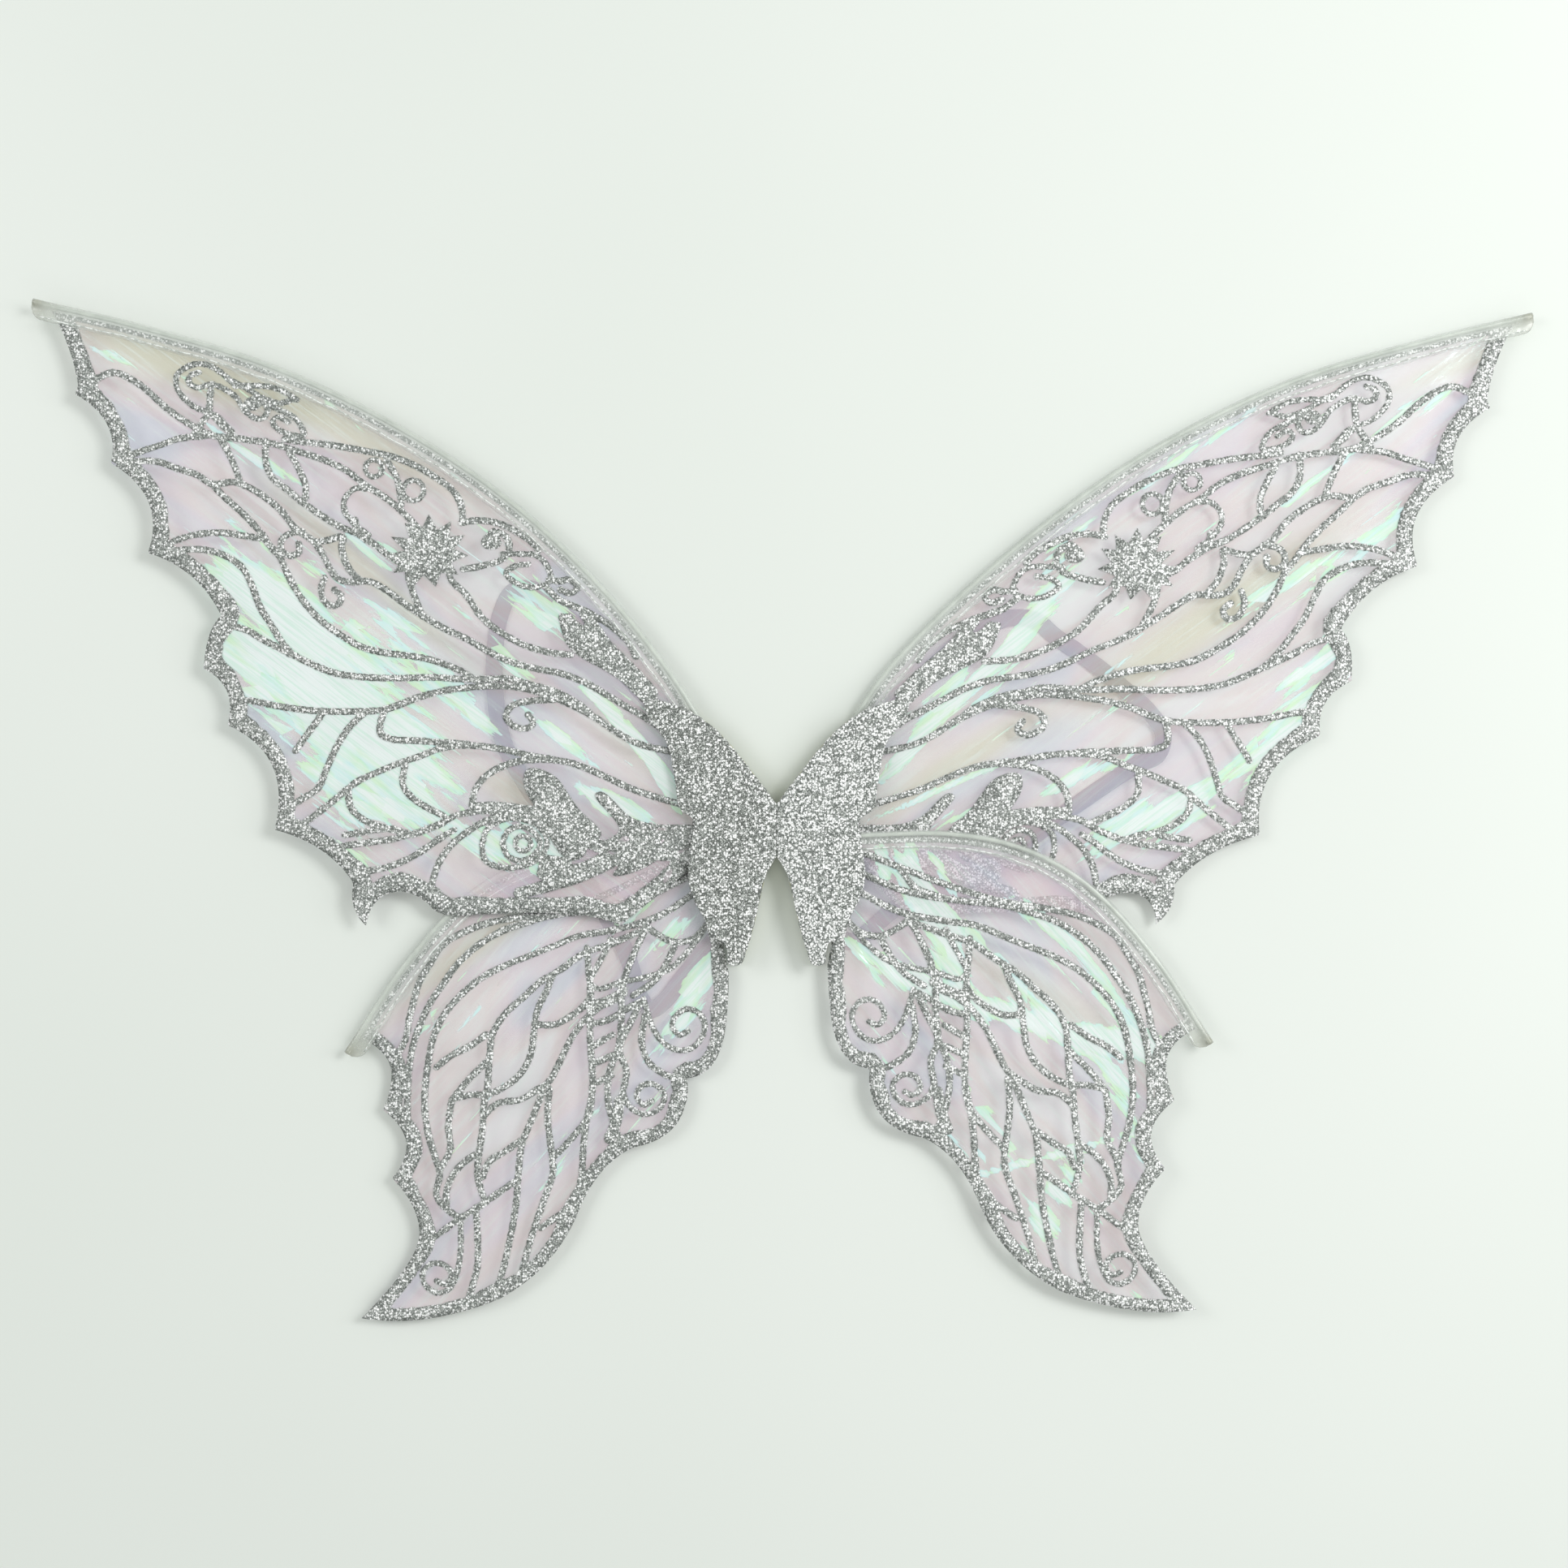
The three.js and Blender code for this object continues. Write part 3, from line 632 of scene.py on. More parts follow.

# %% [markdown]
# ## Iridescent film
#
# The film is a stack of very thin layers that passes most light and mirrors some of it in a
# colour that changes with the angle. From above it looks lilac pink where it mirrors nothing,
# and pale green to white where it faces a light. The shader is a glossy, mostly clear Principled
# with a thin-film thickness of its own. The pale green to white is also painted: an attribute of
# soft oval patches, broken into streaks by a noise stretched along the wing's run, paints the
# colour as a reflection and makes the film less clear there. Fine lines pressed into the film run
# the same way, as a bump, and a painted highlight lightens them.

# %% Where the film's reflection is painted
# Each patch: x, y, half length, half width, direction in degrees, strength.
# Painted reflection: these patches mark where the film is painted pale green to white, as if it
# mirrored a light.
PAINTED_GLINT_SPOTS = {
    ("upper", "left"): [
        (-275, 88, 85, 42, -40, 1.2), (-300, 128, 40, 12, -40, 0.9), (-235, 20, 55, 34, -30, 1.0),
        (-150, -20, 34, 17, -10, 1.1), (-140, 122, 34, 11, -45, 0.9), (-86, 48, 42, 5, -50, 0.9),
        (-64, 14, 18, 4, -60, 1.0), (-385, 265, 26, 3.5, -16, 1.0), (-232, 150, 26, 9, -40, 0.9),
        (-180, 55, 22, 9, -40, 0.7), (-95, 6, 22, 5, -30, 0.9), (-205, 90, 40, 10, -38, 0.7),
        (-120, 160, 30, 5, -42, 0.6), (-330, 246, 30, 4, -22, 0.5), (-120, 38, 34, 4, -38, 1.1),
        (-92, 50, 44, 3, -47, 1.3), (-70, 24, 26, 3.5, -60, 1.4), (-100, 3, 26, 6, -28, 1.3),
        (-255, 60, 60, 10, -38, 0.9), (-300, 205, 50, 4, -32, 0.7), (-160, 92, 50, 5, -45, 0.8),
    ],
    ("lower", "left"): [
        (-58, -72, 18, 8, 40, 1.0), (-48, -108, 34, 10, 55, 1.1), (-84, -60, 20, 5, 25, 0.8),
        (-196, -118, 40, 6, 50, 0.5), (-140, -70, 30, 5, 25, 0.4), (-110, -190, 40, 12, 60, 0.3),
    ],
    ("upper", "right"): [
        (145, 105, 60, 8, 52, 0.9), (95, 62, 44, 6, 52, 1.0), (74, 32, 20, 4, 50, 1.0),
        (300, 55, 46, 14, 60, 0.9), (215, -8, 46, 16, 20, 0.9), (350, 160, 60, 8, 40, 0.8),
        (375, 235, 30, 7, 38, 0.7), (235, 205, 50, 6, 36, 0.8), (190, 60, 40, 7, 35, 0.7),
        (120, 2, 30, 5, 25, 0.8), (165, 150, 34, 5, 45, 0.8), (290, 128, 40, 7, 35, 0.6),
        (98, 13, 48, 2.4, 24, 1.4), (120, 80, 70, 3, 48, 1.2), (330, 100, 40, 5, 40, 0.9),
        (260, 20, 60, 6, 30, 0.8), (345, 215, 60, 4, 38, 0.8), (180, 20, 40, 5, 22, 0.8),
    ],
    ("lower", "right"): [
        (62, -30, 16, 4, -80, 1.1), (80, -32, 18, 4, -74, 1.1), (98, -38, 18, 4, -60, 1.0),
        (70, -92, 36, 6, -28, 1.4), (150, -124, 84, 8, -17, 1.5), (100, -78, 44, 14, -68, 1.0),
        (205, -134, 30, 7, -12, 1.2), (150, -62, 40, 6, -32, 0.8), (160, -232, 34, 12, 62, 1.1),
        (188, -100, 48, 6, -50, 1.1), (120, -180, 40, 10, -60, 0.5), (165, -200, 60, 2.4, 15, 1.2),
        (205, -175, 36, 9, -66, 0.8), (135, -95, 60, 5, -45, 0.7), (85, -52, 34, 8, -58, 1.1),
    ],
}
SAND = {
    ("upper", "left"): [
        (-345, 258, 70, 12, -22, 1.1), (-250, 222, 70, 9, -30, 0.8), (-240, 140, 90, 7, -42, 0.7),
        (-150, 10, 24, 10, -20, 0.6), (-90, 40, 30, 8, -45, 0.4),
    ],
    ("lower", "left"): [(-170, -75, 60, 8, 35, 0.7), (-110, -40, 30, 6, 20, 0.6)],
    ("upper", "right"): [
        (250, 110, 90, 14, 35, 0.9), (110, 30, 60, 9, 32, 0.8), (400, 262, 40, 6, 22, 0.6),
    ],
    ("lower", "right"): [(160, -110, 50, 10, -30, 0.5), (230, -160, 20, 8, -60, 0.5)],
}


def patches(points, spots):
    """The sum of the spots' bells: strength times e^-(u^2 + v^2)^1.5, with u and v the
    distances along and across a spot over its half length and half width. A power above 1
    keeps a bell's top flat."""
    total = np.zeros(len(points))
    for x, y, long, wide, angle, strength in spots:
        turn = np.radians(angle)
        run = np.array([np.cos(turn), np.sin(turn)])
        away = points[:, :2] - [x, y]
        u, v = away @ run / long, away @ [-run[1], run[0]] / wide
        total += strength * np.exp(-((u**2 + v**2) ** 1.5))
    return total


def add_attribute(mesh, name, values):
    """One number for each vertex, for a material's Attribute node."""
    layer = mesh.attributes.new(name, "FLOAT", "POINT")
    layer.data.foreach_set("value", np.asarray(values, np.float32))


print("shining patches:", sum(len(spots) for spots in PAINTED_GLINT_SPOTS.values()))

# %% The film's material
def film_material(name, run):
    """Iridescent film whose streaks and pressed lines follow a direction, in degrees."""
    film, tree, shader = new_material(
        name, Metallic=0.15, Roughness=0.12, IOR=1.8, Specular_IOR_Level=0.8, Coat_Weight=0.6,
        Coat_Roughness=0.06, Thin_Film_Thickness=335.0, Thin_Film_IOR=1.5,
    )
    place = node(tree, "TexCoord").outputs["Object"]
    turn = (0, 0, -np.radians(run))
    turned = node(tree, "Mapping", {"Vector": place, "Rotation": turn}).outputs[0]

    def stretched(scale, kind="TexNoise", **inputs):
        """A texture of the turned place, scaled along and across the run."""
        scaled = node(tree, "Mapping", {"Vector": turned, "Scale": scale}).outputs[0]
        return node(tree, kind, {"Vector": scaled, "Scale": 1.0, **inputs})

    streaks = stretched((16, 120, 16), Detail=4.0, Roughness=0.6).outputs["Fac"]
    hue = stretched((7, 26, 7), Detail=3.0, Distortion=0.8).outputs["Fac"]
    lines = stretched((25, 850, 25), Detail=2.0).outputs["Fac"]
    tint = stretched((40, 240, 40), Detail=3.0).outputs["Fac"]
    blocks = stretched((45, 130, 45), "TexVoronoi").outputs["Color"]
    blocks = node(tree, "SeparateColor", {"Color": blocks}).outputs["Red"]

    lilac = ramp(
        tree, hue, (0.34, (0.76, 0.70, 0.84)), (0.45, (0.89, 0.70, 0.80)),
        (0.56, (0.90, 0.71, 0.74)), (0.66, (0.93, 0.82, 0.88)),
    )
    sand = node(tree, "Attribute", attribute_name="sand").outputs["Fac"]
    based = mixed(tree, sand, lilac, (0.76, 0.66, 0.50, 1))
    # The pressed lines are real and are also a bump. Their lightening towards pale green white is a
    # painted highlight.
    pressed_line_highlight = ranged(tree, lines, (0.52, 0.62), (0.0, 0.5))
    based = mixed(tree, pressed_line_highlight, based, (0.94, 0.97, 0.95, 1))

    # Painted reflection: the patch attribute, broken into streaks and blocks and joined by thin
    # glint lines, paints the colour pale green to white and makes the film less clear there.
    painted_glint = node(tree, "Attribute", attribute_name="painted_glint").outputs["Fac"]
    broken = maths(tree, "MULTIPLY_ADD", streaks, 3.0, -1.95)
    broken = maths(tree, "MULTIPLY_ADD", blocks, 0.55, broken)
    painted_glint_lines = stretched((14, 520, 14), Detail=1.0).outputs["Fac"]
    painted_glint_lines = ranged(tree, painted_glint_lines, (0.66, 0.72), (0.0, 0.45))
    both = maths(tree, "ADD", maths(tree, "ADD", painted_glint, broken), painted_glint_lines)
    painted_glint_mask = ranged(tree, both, (0.46, 0.54))
    core = ranged(tree, both, (0.55, 1.05))
    painted_glint_colour = ramp(
        tree, tint, (0.40, (0.80, 0.98, 0.70)), (0.50, (0.72, 0.97, 0.80)),
        (0.60, (0.78, 0.96, 0.97)),
    )
    pale = ramp(tree, lines, (0.38, (0.86, 0.97, 0.90)), (0.52, (1.0, 1.0, 1.0)))
    painted_glint_colour = mixed(tree, core, painted_glint_colour, pale)
    tree.links.new(mixed(tree, painted_glint_mask, based, painted_glint_colour), shader.inputs["Base Color"])
    tree.links.new(ranged(tree, painted_glint_mask, (0.0, 1.0), (0.34, 0.66)), shader.inputs["Alpha"])
    fine = node(tree, "Bump", {"Strength": 0.35, "Distance": 0.0004, "Height": lines}).outputs[0]
    raised(tree, shader, streaks, 0.5, 0.0015, Normal=fine)
    return film

# %% The four films
FILM_SPACING, FILM_THICK = 2.6, 0.25
FILM_DROP = 0.6
for level, side in WINGS:
    outline = outline_of(level, side)
    points, faces = filled(outline, FILM_SPACING)
    rise = RIB_MIDDLE[level, side] - FILM_DROP + film_rise(points, level, side)
    film = new_piece(
        f"{level}_{side}_wing_film", np.column_stack([points, rise]), faces,
        f"{level}_{side}_wing", "wing_film",
        film_material(f"{level}_{side}_iridescent_film", RUN[level, side]),
        [f"{level}_{side}_film"],
    )
    # The painted reflection patches, kept on the film for its material.
    add_attribute(film.data, "painted_glint", patches(points, PAINTED_GLINT_SPOTS[level, side]))
    add_attribute(film.data, "sand", np.clip(patches(points, SAND[level, side]), 0, 1))
    wall = film.modifiers.new("wall", "SOLIDIFY")
    wall.thickness, wall.offset = FILM_THICK * MM, 1
    film.visible_shadow = False
    size = np.ptp(outline, axis=0) * MM
    print(level, side, "film:", len(faces), "triangles,", np.round(size / MM), "mm")

# %% [markdown]
# ## Glitter
#
# The veins, scrolls and borders are a layer of silver glitter on the film. Glitter is many
# small mirrors that each face their own way, so some flash white and their neighbours are
# grey. The shader does the same: a Voronoi texture cuts the surface into cells about a
# millimetre across, and the random colour of a cell pushes the normal of a clear coat over it,
# so each cell mirrors another part of the room. The white flash is also painted: a share of the
# cells has a white base colour, a painted highlight. A second, finer layer does the same for the
# dust between the flakes. The flakes could be modelled one by one, but there are tens of
# thousands of them, and none is thicker than a coat of paint.

# %% The glitter's material
def glitter_material(name, ground, from_pick):
    """Silver flakes on a grey ground, with a painted highlight: a cell's base colour is painted
    white where its random number is past from_pick, and it fades into the ground between 0.42 and
    0.58 cells from its middle."""
    glitter, tree, shader = new_material(
        name, Roughness=0.4, Coat_Weight=0.9, Coat_IOR=1.8, Coat_Roughness=0.14
    )
    place = node(tree, "TexCoord").outputs["Object"]
    stray = node(tree, "TexNoise", {"Vector": place, "Scale": 700.0, "Detail": 1.0})
    stray = node(
        tree, "VectorMath", {0: stray.outputs["Color"], 1: (0.0009,) * 3}, operation="MULTIPLY"
    ).outputs[0]
    place = node(tree, "VectorMath", {0: place, 1: stray}, operation="ADD").outputs[0]
    flakes = node(tree, "TexVoronoi", {"Vector": place, "Scale": 780.0})
    dust = node(tree, "TexVoronoi", {"Vector": place, "Scale": 2000.0})
    tilt = mixed(tree, 0.4, flakes.outputs["Color"], dust.outputs["Color"])
    push = node(tree, "VectorMath", {0: tilt, 1: (0.5,) * 3}, operation="SUBTRACT").outputs[0]
    push = node(tree, "VectorMath", {0: push, 1: (1.5,) * 3}, operation="MULTIPLY").outputs[0]
    facing = node(tree, "NewGeometry").outputs["Normal"]
    facing = node(tree, "VectorMath", {0: facing, 1: push}, operation="ADD").outputs[0]
    facing = node(tree, "VectorMath", {0: facing}, operation="NORMALIZE").outputs[0]
    tree.links.new(facing, shader.inputs["Coat Normal"])
    raised(tree, shader, flakes.outputs["Distance"], 0.6, 0.0005)
    pick = node(tree, "SeparateColor", {"Color": flakes.outputs["Color"]}).outputs["Red"]
    # Painted highlight: cells past from_pick get a white base colour, which stands in for flakes
    # that mirror a light.
    white = ranged(tree, pick, (from_pick, from_pick + 0.04))
    rim = ranged(tree, flakes.outputs["Distance"], (0.42, 0.58), (1.0, 0.0))
    painted_sparkle = maths(tree, "MULTIPLY", white, rim)
    fine = node(tree, "SeparateColor", {"Color": dust.outputs["Color"]}).outputs["Green"]
    dusty = ramp(
        tree, fine, (0.0, tuple(0.55 * g for g in ground)), (0.62, ground),
        (0.9, (0.66, 0.69, 0.66)),
    )
    tree.links.new(mixed(tree, painted_sparkle, dusty, (1, 1, 1, 1)), shader.inputs["Base Color"])
    return glitter


# Painted light: the two sides are copies of one glitter. The right one has more white cells and a
# lighter ground, as if lit from the right, and the left one is painted in shade.
wing_glitter = {
    "left": glitter_material("wing_glitter_left_painted_shade", (0.17, 0.19, 0.175), 0.52),
    "right": glitter_material("wing_glitter_right_painted_light", (0.20, 0.22, 0.205), 0.42),
}
print("glitter:", len(wing_glitter["left"].node_tree.nodes), "shader nodes")

# %% [markdown]
# ## Veins and scrolls
#
# The drawing of each wing is a list of lines: long veins from the scallops to the hub, links
# between them, curls, rings and leaves. They are drawn for the left wing and settle
# with it on the right. Each line becomes a flat strip whose width wavers by a few tenths of a
# millimetre, as cut glitter film does, and the union of all the strips and of the border is
# one sheet that lies on the film and follows its rise.

# %% The upper wing's drawing
# Half a vein's width, then points in millimetres. Each line ends with a semicolon.
VEIN = 1.9
UPPER_VEINS = """
    -404,250 -398,252 -387,256 -372,249 -356,235 -343,226 -330,219.5 -312,217 -295,214.5 -280,210
      -262,204 -250,198 -240,190 -230,184 -220,176 -210,166 -203,158;
    -384,205 -374,209 -360,213.5 -348,217.5 -338,218.5 -330,219.5;
    -381,203 -374,204 -362,204 -350,200 -338,196 -330,191 -318,192 -313,191 -303,186 -290,176
      -282,166 -277,162 -270,157 -264,148 -260,140 -255,135 -247,133.5 -238,134 -228,129 -220,123
      -210,116 -195,107 -180,100 -168,93 -155,87 -140,83 -125,80 -110,74 -98,67 -88,61 -76,54
      -62,44;
    -330,191 -322,183 -310,172 -300,161 -296,155 -290,148 -285,137 -278,125 -268,113 -255,103
      -243,96 -230,92.5 -218,91 -205,89 -195,86 -185,82 -175,76;
    -325,218 -320,209 -316,200 -313,192;
    -360,153 -350,158 -340,161 -325,162.5 -310,160.5 -300,159;
    -360,151 -350,152 -335,152.5 -322,149 -312,142 -306,131 -302,120 -296,110 -289,99 -283,92
      -272,86 -258,80.5 -240,78 -220,77.5 -200,78 -185,77 -170,77 -155,77 -145,74 -130,70 -115,62
      -108,56;
    -324,109 -318,108 -308,105 -300,100 -290,95 -283,91;
    -313,65 -305,64 -290,61 -270,58.5 -250,58 -230,59 -220,62 -210,66 -195,70 -180,72 -165,73
      -150,72 -135,68 -120,62 -105,54 -92,45 -80,39 -68,36 -52,32;
    -130,65 -145,64 -155,61 -158,55 -154,50 -147,48 -142,51 -145,56;
    -281,35 -276,42 -270,50 -265,57;
    -283,3 -277,7 -268,13 -263,24 -257,37 -250,48 -240,58;
    -280,-10 -273,-5 -265,1 -255,9 -245,17 -232,23 -220,28 -208,32 -198,36 -188,38 -175,38 -160,36
      -145,32.5 -130,30;
    -228,60 -231,52 -231,45 -225,42 -210,41 -195,40 -180,39;
    -250,12 -249,3 -243,-4 -232,-9 -222,-11.5 -213,-14;
    -217,27 -218,15 -213,8 -204,2 -194,-3;
    -252,-14 -245,-13 -230,-10.5 -222,-11 -215,-14 -205,-11 -195,-7 -188,-3 -180,-1 -165,1
      -150,1.5 -140,1;
    -255,-21 -250,-20 -235,-18 -222,-16 -215,-14;
    -245,-36 -238,-35 -228,-33 -215,-28 -205,-22 -195,-15 -188,-11;
    -202,-46 -200,-38 -197,-30 -190,-20 -180,-12 -170,-6 -160,-3;
    -178,3 -176,12 -170,20 -160,26 -150,29 -135,30 -120,28 -100,20 -85,13 -70,8 -50,2;
    -178,3 -165,3.5 -150,2 -140,0;
    -277,163 -284,162 -289,158 -289,152 -284,149 -279,151 -279,156;
    -264,136 -266,129 -263,121 -257,120 -254,125 -258,129;
    -298,216 -298,203 -294,194 -285,187 -278,181 -268,174 -255,166 -245,162 -235,156 -225,148
      -215,143;
    -284,209 -279,200 -275,190 -275,183;
    -287,217 -282,216 -260,213.5 -240,210 -225,207 -210,201 -198,194 -189,187 -184,178 -183,168;
    -270,157 -262,158 -253,160 -254,154 -250,142 -243,134;
    -228,205 -222,195 -220,188 -219,178;
    -246,170 -244,162 -234,155;
    -184,168 -175,169.5 -163,168 -152,163 -143,157 -139,152;
    -170,157 -165,163 -158,160 -156,153 -160,147 -172,143 -183,141;
    -133,135 -127,134 -121,135 -116,131 -120,127 -126,129;
    -134,130 -128,124 -120,120 -112,117 -105,113 -98,109 -92,104 -86,98 -82,90;
    -213,146 -215,140 -213,130 -208,116;
    -192,145 -190,135 -182,127 -172,113 -165,107 -150,98 -135,93 -120,91;
    -340,220 -330,231.5 -318,221;
    -330,248 -331,235;
"""
print("upper veins:", UPPER_VEINS.count(";"))

# %% The upper wing's curls and leaves
UPPER_CURLS = """
    -318,220 -325,226 -330,231.5 -340,236 -346,241 -350,247 -350,254 -346,258 -338,261 -330,259.5
      -322,254 -316,248;
    -316,248 -300,248 -290,246 -280,240;
    -337,256 -342,254 -343,250 -338,247 -330,249 -322,246 -315,241 -312,236 -306,230 -300,229
      -297,234 -301,241;
    -300,238 -290,234 -280,228 -276,219 -290,222 -294,227 -291,230 -285,227;
    -320,252 -310,247 -300,241 -290,238 -283,240;
    -238,188 -246,188 -252,182 -252,175 -246,167 -238,161;
    -160,150 -150,150 -140,149 -134,143 -132,135 -138,131 -147,131 -155,135 -158,139 -152,143
      -145,144;
    -172,-20 -169,-11 -159,-5 -148,-5 -138,-10 -134,-18 -138,-27 -148,-32 -160,-33 -170,-29
      -172,-20;
    -160,-19 -157,-12 -150,-9 -142,-12 -138,-19 -142,-26 -150,-29 -157,-26 -160,-19;
"""
UPPER_RINGS = [(-235, 200, 5.0), (-212, 187, 6.0), (-148, -19, 4.5)]
UPPER_THICK = [
    ("-176,2 -165,1 -150,-1 -138,-4 -124,-11 -112,-18 -103,-20", 3.4),
    ("-150,-48 -135,-44 -120,-40 -105,-34 -92,-28 -78,-25 -60,-26", 3.6),
    ("-135,-34 -125,-36 -112,-34 -100,-28", 4.5),
    ("-122,112 -116,104 -108,97 -98,88 -90,80 -80,70 -70,60", 3.4),
    ("-112,115 -106,106 -99,97 -91,89 -82,80 -72,69", 3.0),
]
UPPER_LEAVES = """
    -147,25 -138,25 -128,20 -121,9 -115,0 -105,-8 -101,-15 -110,-19 -122,-17 -133,-6 -143,5
      -148,15;
    -46,-8 -60,-8 -72,-8 -83,-5 -90,0 -96,7 -102,12 -107,10 -104,5 -99,0 -94,-6 -91,-11 -95,-15
      -104,-19 -109,-22 -104,-25 -97,-23 -91,-25 -91,-31 -97,-38 -90,-38 -78,-34 -70,-29 -60,-24
      -46,-20;
    -134,-2 -126,-4 -112,-6 -104,-10 -105,-16 -110,-20 -112,-27 -120,-30 -128,-24 -133,-14
      -139,-7;
    -141,-24 -132,-26 -122,-27 -118,-33 -124,-38 -134,-42 -141,-38 -138,-31;
    -128,117 -126,106 -122,95 -112,88 -100,82 -88,74 -76,64 -60,48 -66,62 -78,76 -88,88 -97,99
      -103,108 -108,115 -112,107 -118,112;
    -173,158 -168,163 -162,161 -160,155 -165,152 -171,153;
    -312,238 -306,243 -300,240 -302,234 -309,233;
"""
UPPER_STAR = """
    -217,152 -226,150 -219,146 -224,139 -214,140 -212,131 -206,138 -199,131 -196,139 -186,138
      -190,145 -180,149 -188,153 -182,161 -191,160 -190,169 -198,164 -203,173 -207,165 -217,168
      -214,159 -225,160;
"""

# %% The lower wing's drawing
LOWER_VEINS = """
    -50,-24 -70,-34 -100,-49 -130,-59 -150,-62 -170,-66 -183,-71 -196,-79 -203,-90 -209,-100
      -212,-110 -215,-122 -217,-133 -222,-143;
    -44,-34 -75,-50 -105,-58 -130,-61 -145,-65 -160,-70 -175,-79 -187,-90 -195,-101 -203,-113
      -209,-126 -213,-138 -215,-150 -216,-165 -216,-178 -214,-193;
    -42,-44 -70,-62 -97,-70 -115,-73 -130,-79 -145,-85 -160,-91 -173,-98 -185,-108 -195,-120
      -201,-133 -204,-148 -205.5,-160 -206,-172 -204,-188 -200,-202 -197,-212 -199,-225 -193,-233
      -186,-238;
    -75,-68 -97,-78 -112,-83 -125,-92 -138,-100 -148,-109 -158,-118 -166,-130 -168,-145 -169,-160
      -171,-170 -172,-185 -174,-200 -175,-212 -172,-225 -170,-229;
    -199,-150 -190,-143 -180,-138 -170,-131;
    -189,-168 -180,-157 -172,-149 -168,-145;
    -189,-168 -178,-166 -170,-166 -160,-162 -150,-154 -144,-143 -142,-130 -140,-117 -134,-104
      -131,-96;
    -190,-169 -192,-185 -191,-198 -197,-210;
    -171,-178 -163,-171 -150,-169 -140,-163 -133,-158 -127,-147 -120,-133 -112,-122 -105,-116
      -92,-108;
    -137,-165 -143,-180 -149,-195 -151,-210 -152,-225 -154,-240 -157,-255 -160,-268 -165,-284;
    -133,-162 -134,-180 -132,-198 -131,-212 -137,-230 -142,-245 -146,-258 -150,-275;
    -170,-229 -186,-239 -200,-249 -209,-253;
    -176,-232 -175,-250 -175,-265 -178,-278 -182,-290;
    -150,-193 -160,-200 -168,-205 -172,-214;
    -153,-217 -162,-223 -172,-230;
    -193,-233 -193,-222 -188,-211 -178,-202 -174,-200;
    -131,-203 -122,-194 -110,-178 -108,-165;
    -138,-244 -125,-235 -113,-226;
    -91,-100 -91,-125 -93,-140 -97,-150 -99,-163 -97,-178 -92,-192;
    -109,-112 -109,-135 -108,-150 -108,-165 -111,-180 -113,-195 -114,-212 -118,-236;
    -109,-118 -100,-112 -91,-106;
    -109,-125 -98,-122 -88,-116 -78,-111;
    -108,-138 -96,-131;
    -107,-148 -96,-143;
    -105,-159 -97,-155;
    -76,-68 -65,-75 -57,-77 -48,-74 -40,-66;
    -76,-68 -80,-76 -84,-85 -88,-95 -91,-108;
    -140,-125 -130,-125 -120,-120 -110,-112;
    -77,-120 -79,-135 -75,-147 -66,-154 -58,-157;
    -80,-113 -86,-125 -92,-140 -88,-152 -90,-165 -92,-178;
    -111,-80 -110,-92 -109,-103 -109,-114;
    -60,-80 -66,-92 -72,-100 -84,-108;
    -72,-36 -80,-48 -96,-56;
"""
LOWER_CURLS = """
    -97,-75 -100,-82 -106,-93 -109,-100 -105,-104 -90,-100 -75,-97 -62,-92 -50,-80 -42,-68;
    -78,-110 -75,-120 -72,-128 -66,-136 -58,-140 -50,-139 -44,-133 -42,-125 -46,-118 -53,-116
      -59,-120 -61,-126 -57,-131 -52,-129;
    -90,-165 -87,-172 -80,-177 -73,-177 -67,-172 -66,-165 -72,-160 -79,-161 -82,-167 -78,-172
      -73,-170;
    -185,-238 -185,-258 -187,-270 -192,-280 -199,-282 -206,-277 -207,-270 -202,-265 -194,-266
      -190,-272 -194,-277 -199,-275;
"""
LOWER_RINGS = []
LOWER_THICK = [("-110,-112 -104,-113 -96,-110 -90,-106", 3.0), ("-92,-170 -94,-182 -98,-192", 3.2)]
LOWER_LEAVES = LOWER_STAR = ""
DRAWINGS = {
    "upper": (UPPER_VEINS, UPPER_CURLS, UPPER_RINGS, UPPER_THICK, UPPER_LEAVES, UPPER_STAR),
    "lower": (LOWER_VEINS, LOWER_CURLS, LOWER_RINGS, LOWER_THICK, LOWER_LEAVES, LOWER_STAR),
}


def lines_in(text):
    """The lines of a drawing, each ended by a semicolon."""
    return [line(points) for points in text.split(";") if points.strip()]


print("lines drawn:", sum(len(lines_in(d[0])) + len(lines_in(d[1])) for d in DRAWINGS.values()))

# %% From drawing to glitter
def wavering(path, half_width, amount=0.22):
    """A half width that wavers along a path by the sum of two sines of x and y."""
    x, y = path[:, 0], path[:, 1]
    return half_width + amount * (np.sin(x * 1.9 + y * 0.7) + np.sin(y * 2.3 - x * 0.9)) / 1.4


def drawn(points, level, side, half_width, spacing=1.6):
    """The strip of one drawn line, laid on its wing."""
    path = smooth(settled(points, level, side), spacing)
    return strip(path, wavering(path, half_width))


BORDER, CORNER_EXTRA, CORNER_REACH, BORDER_OVERLAP = {"upper": 4.7, "lower": 3.9}, 1.1, 11, 0.4
LEAD_INSET, LEAD_BORDER, ROOT_INSET, ROOT_BORDER = 1.0, 1.6, 3, 3.5


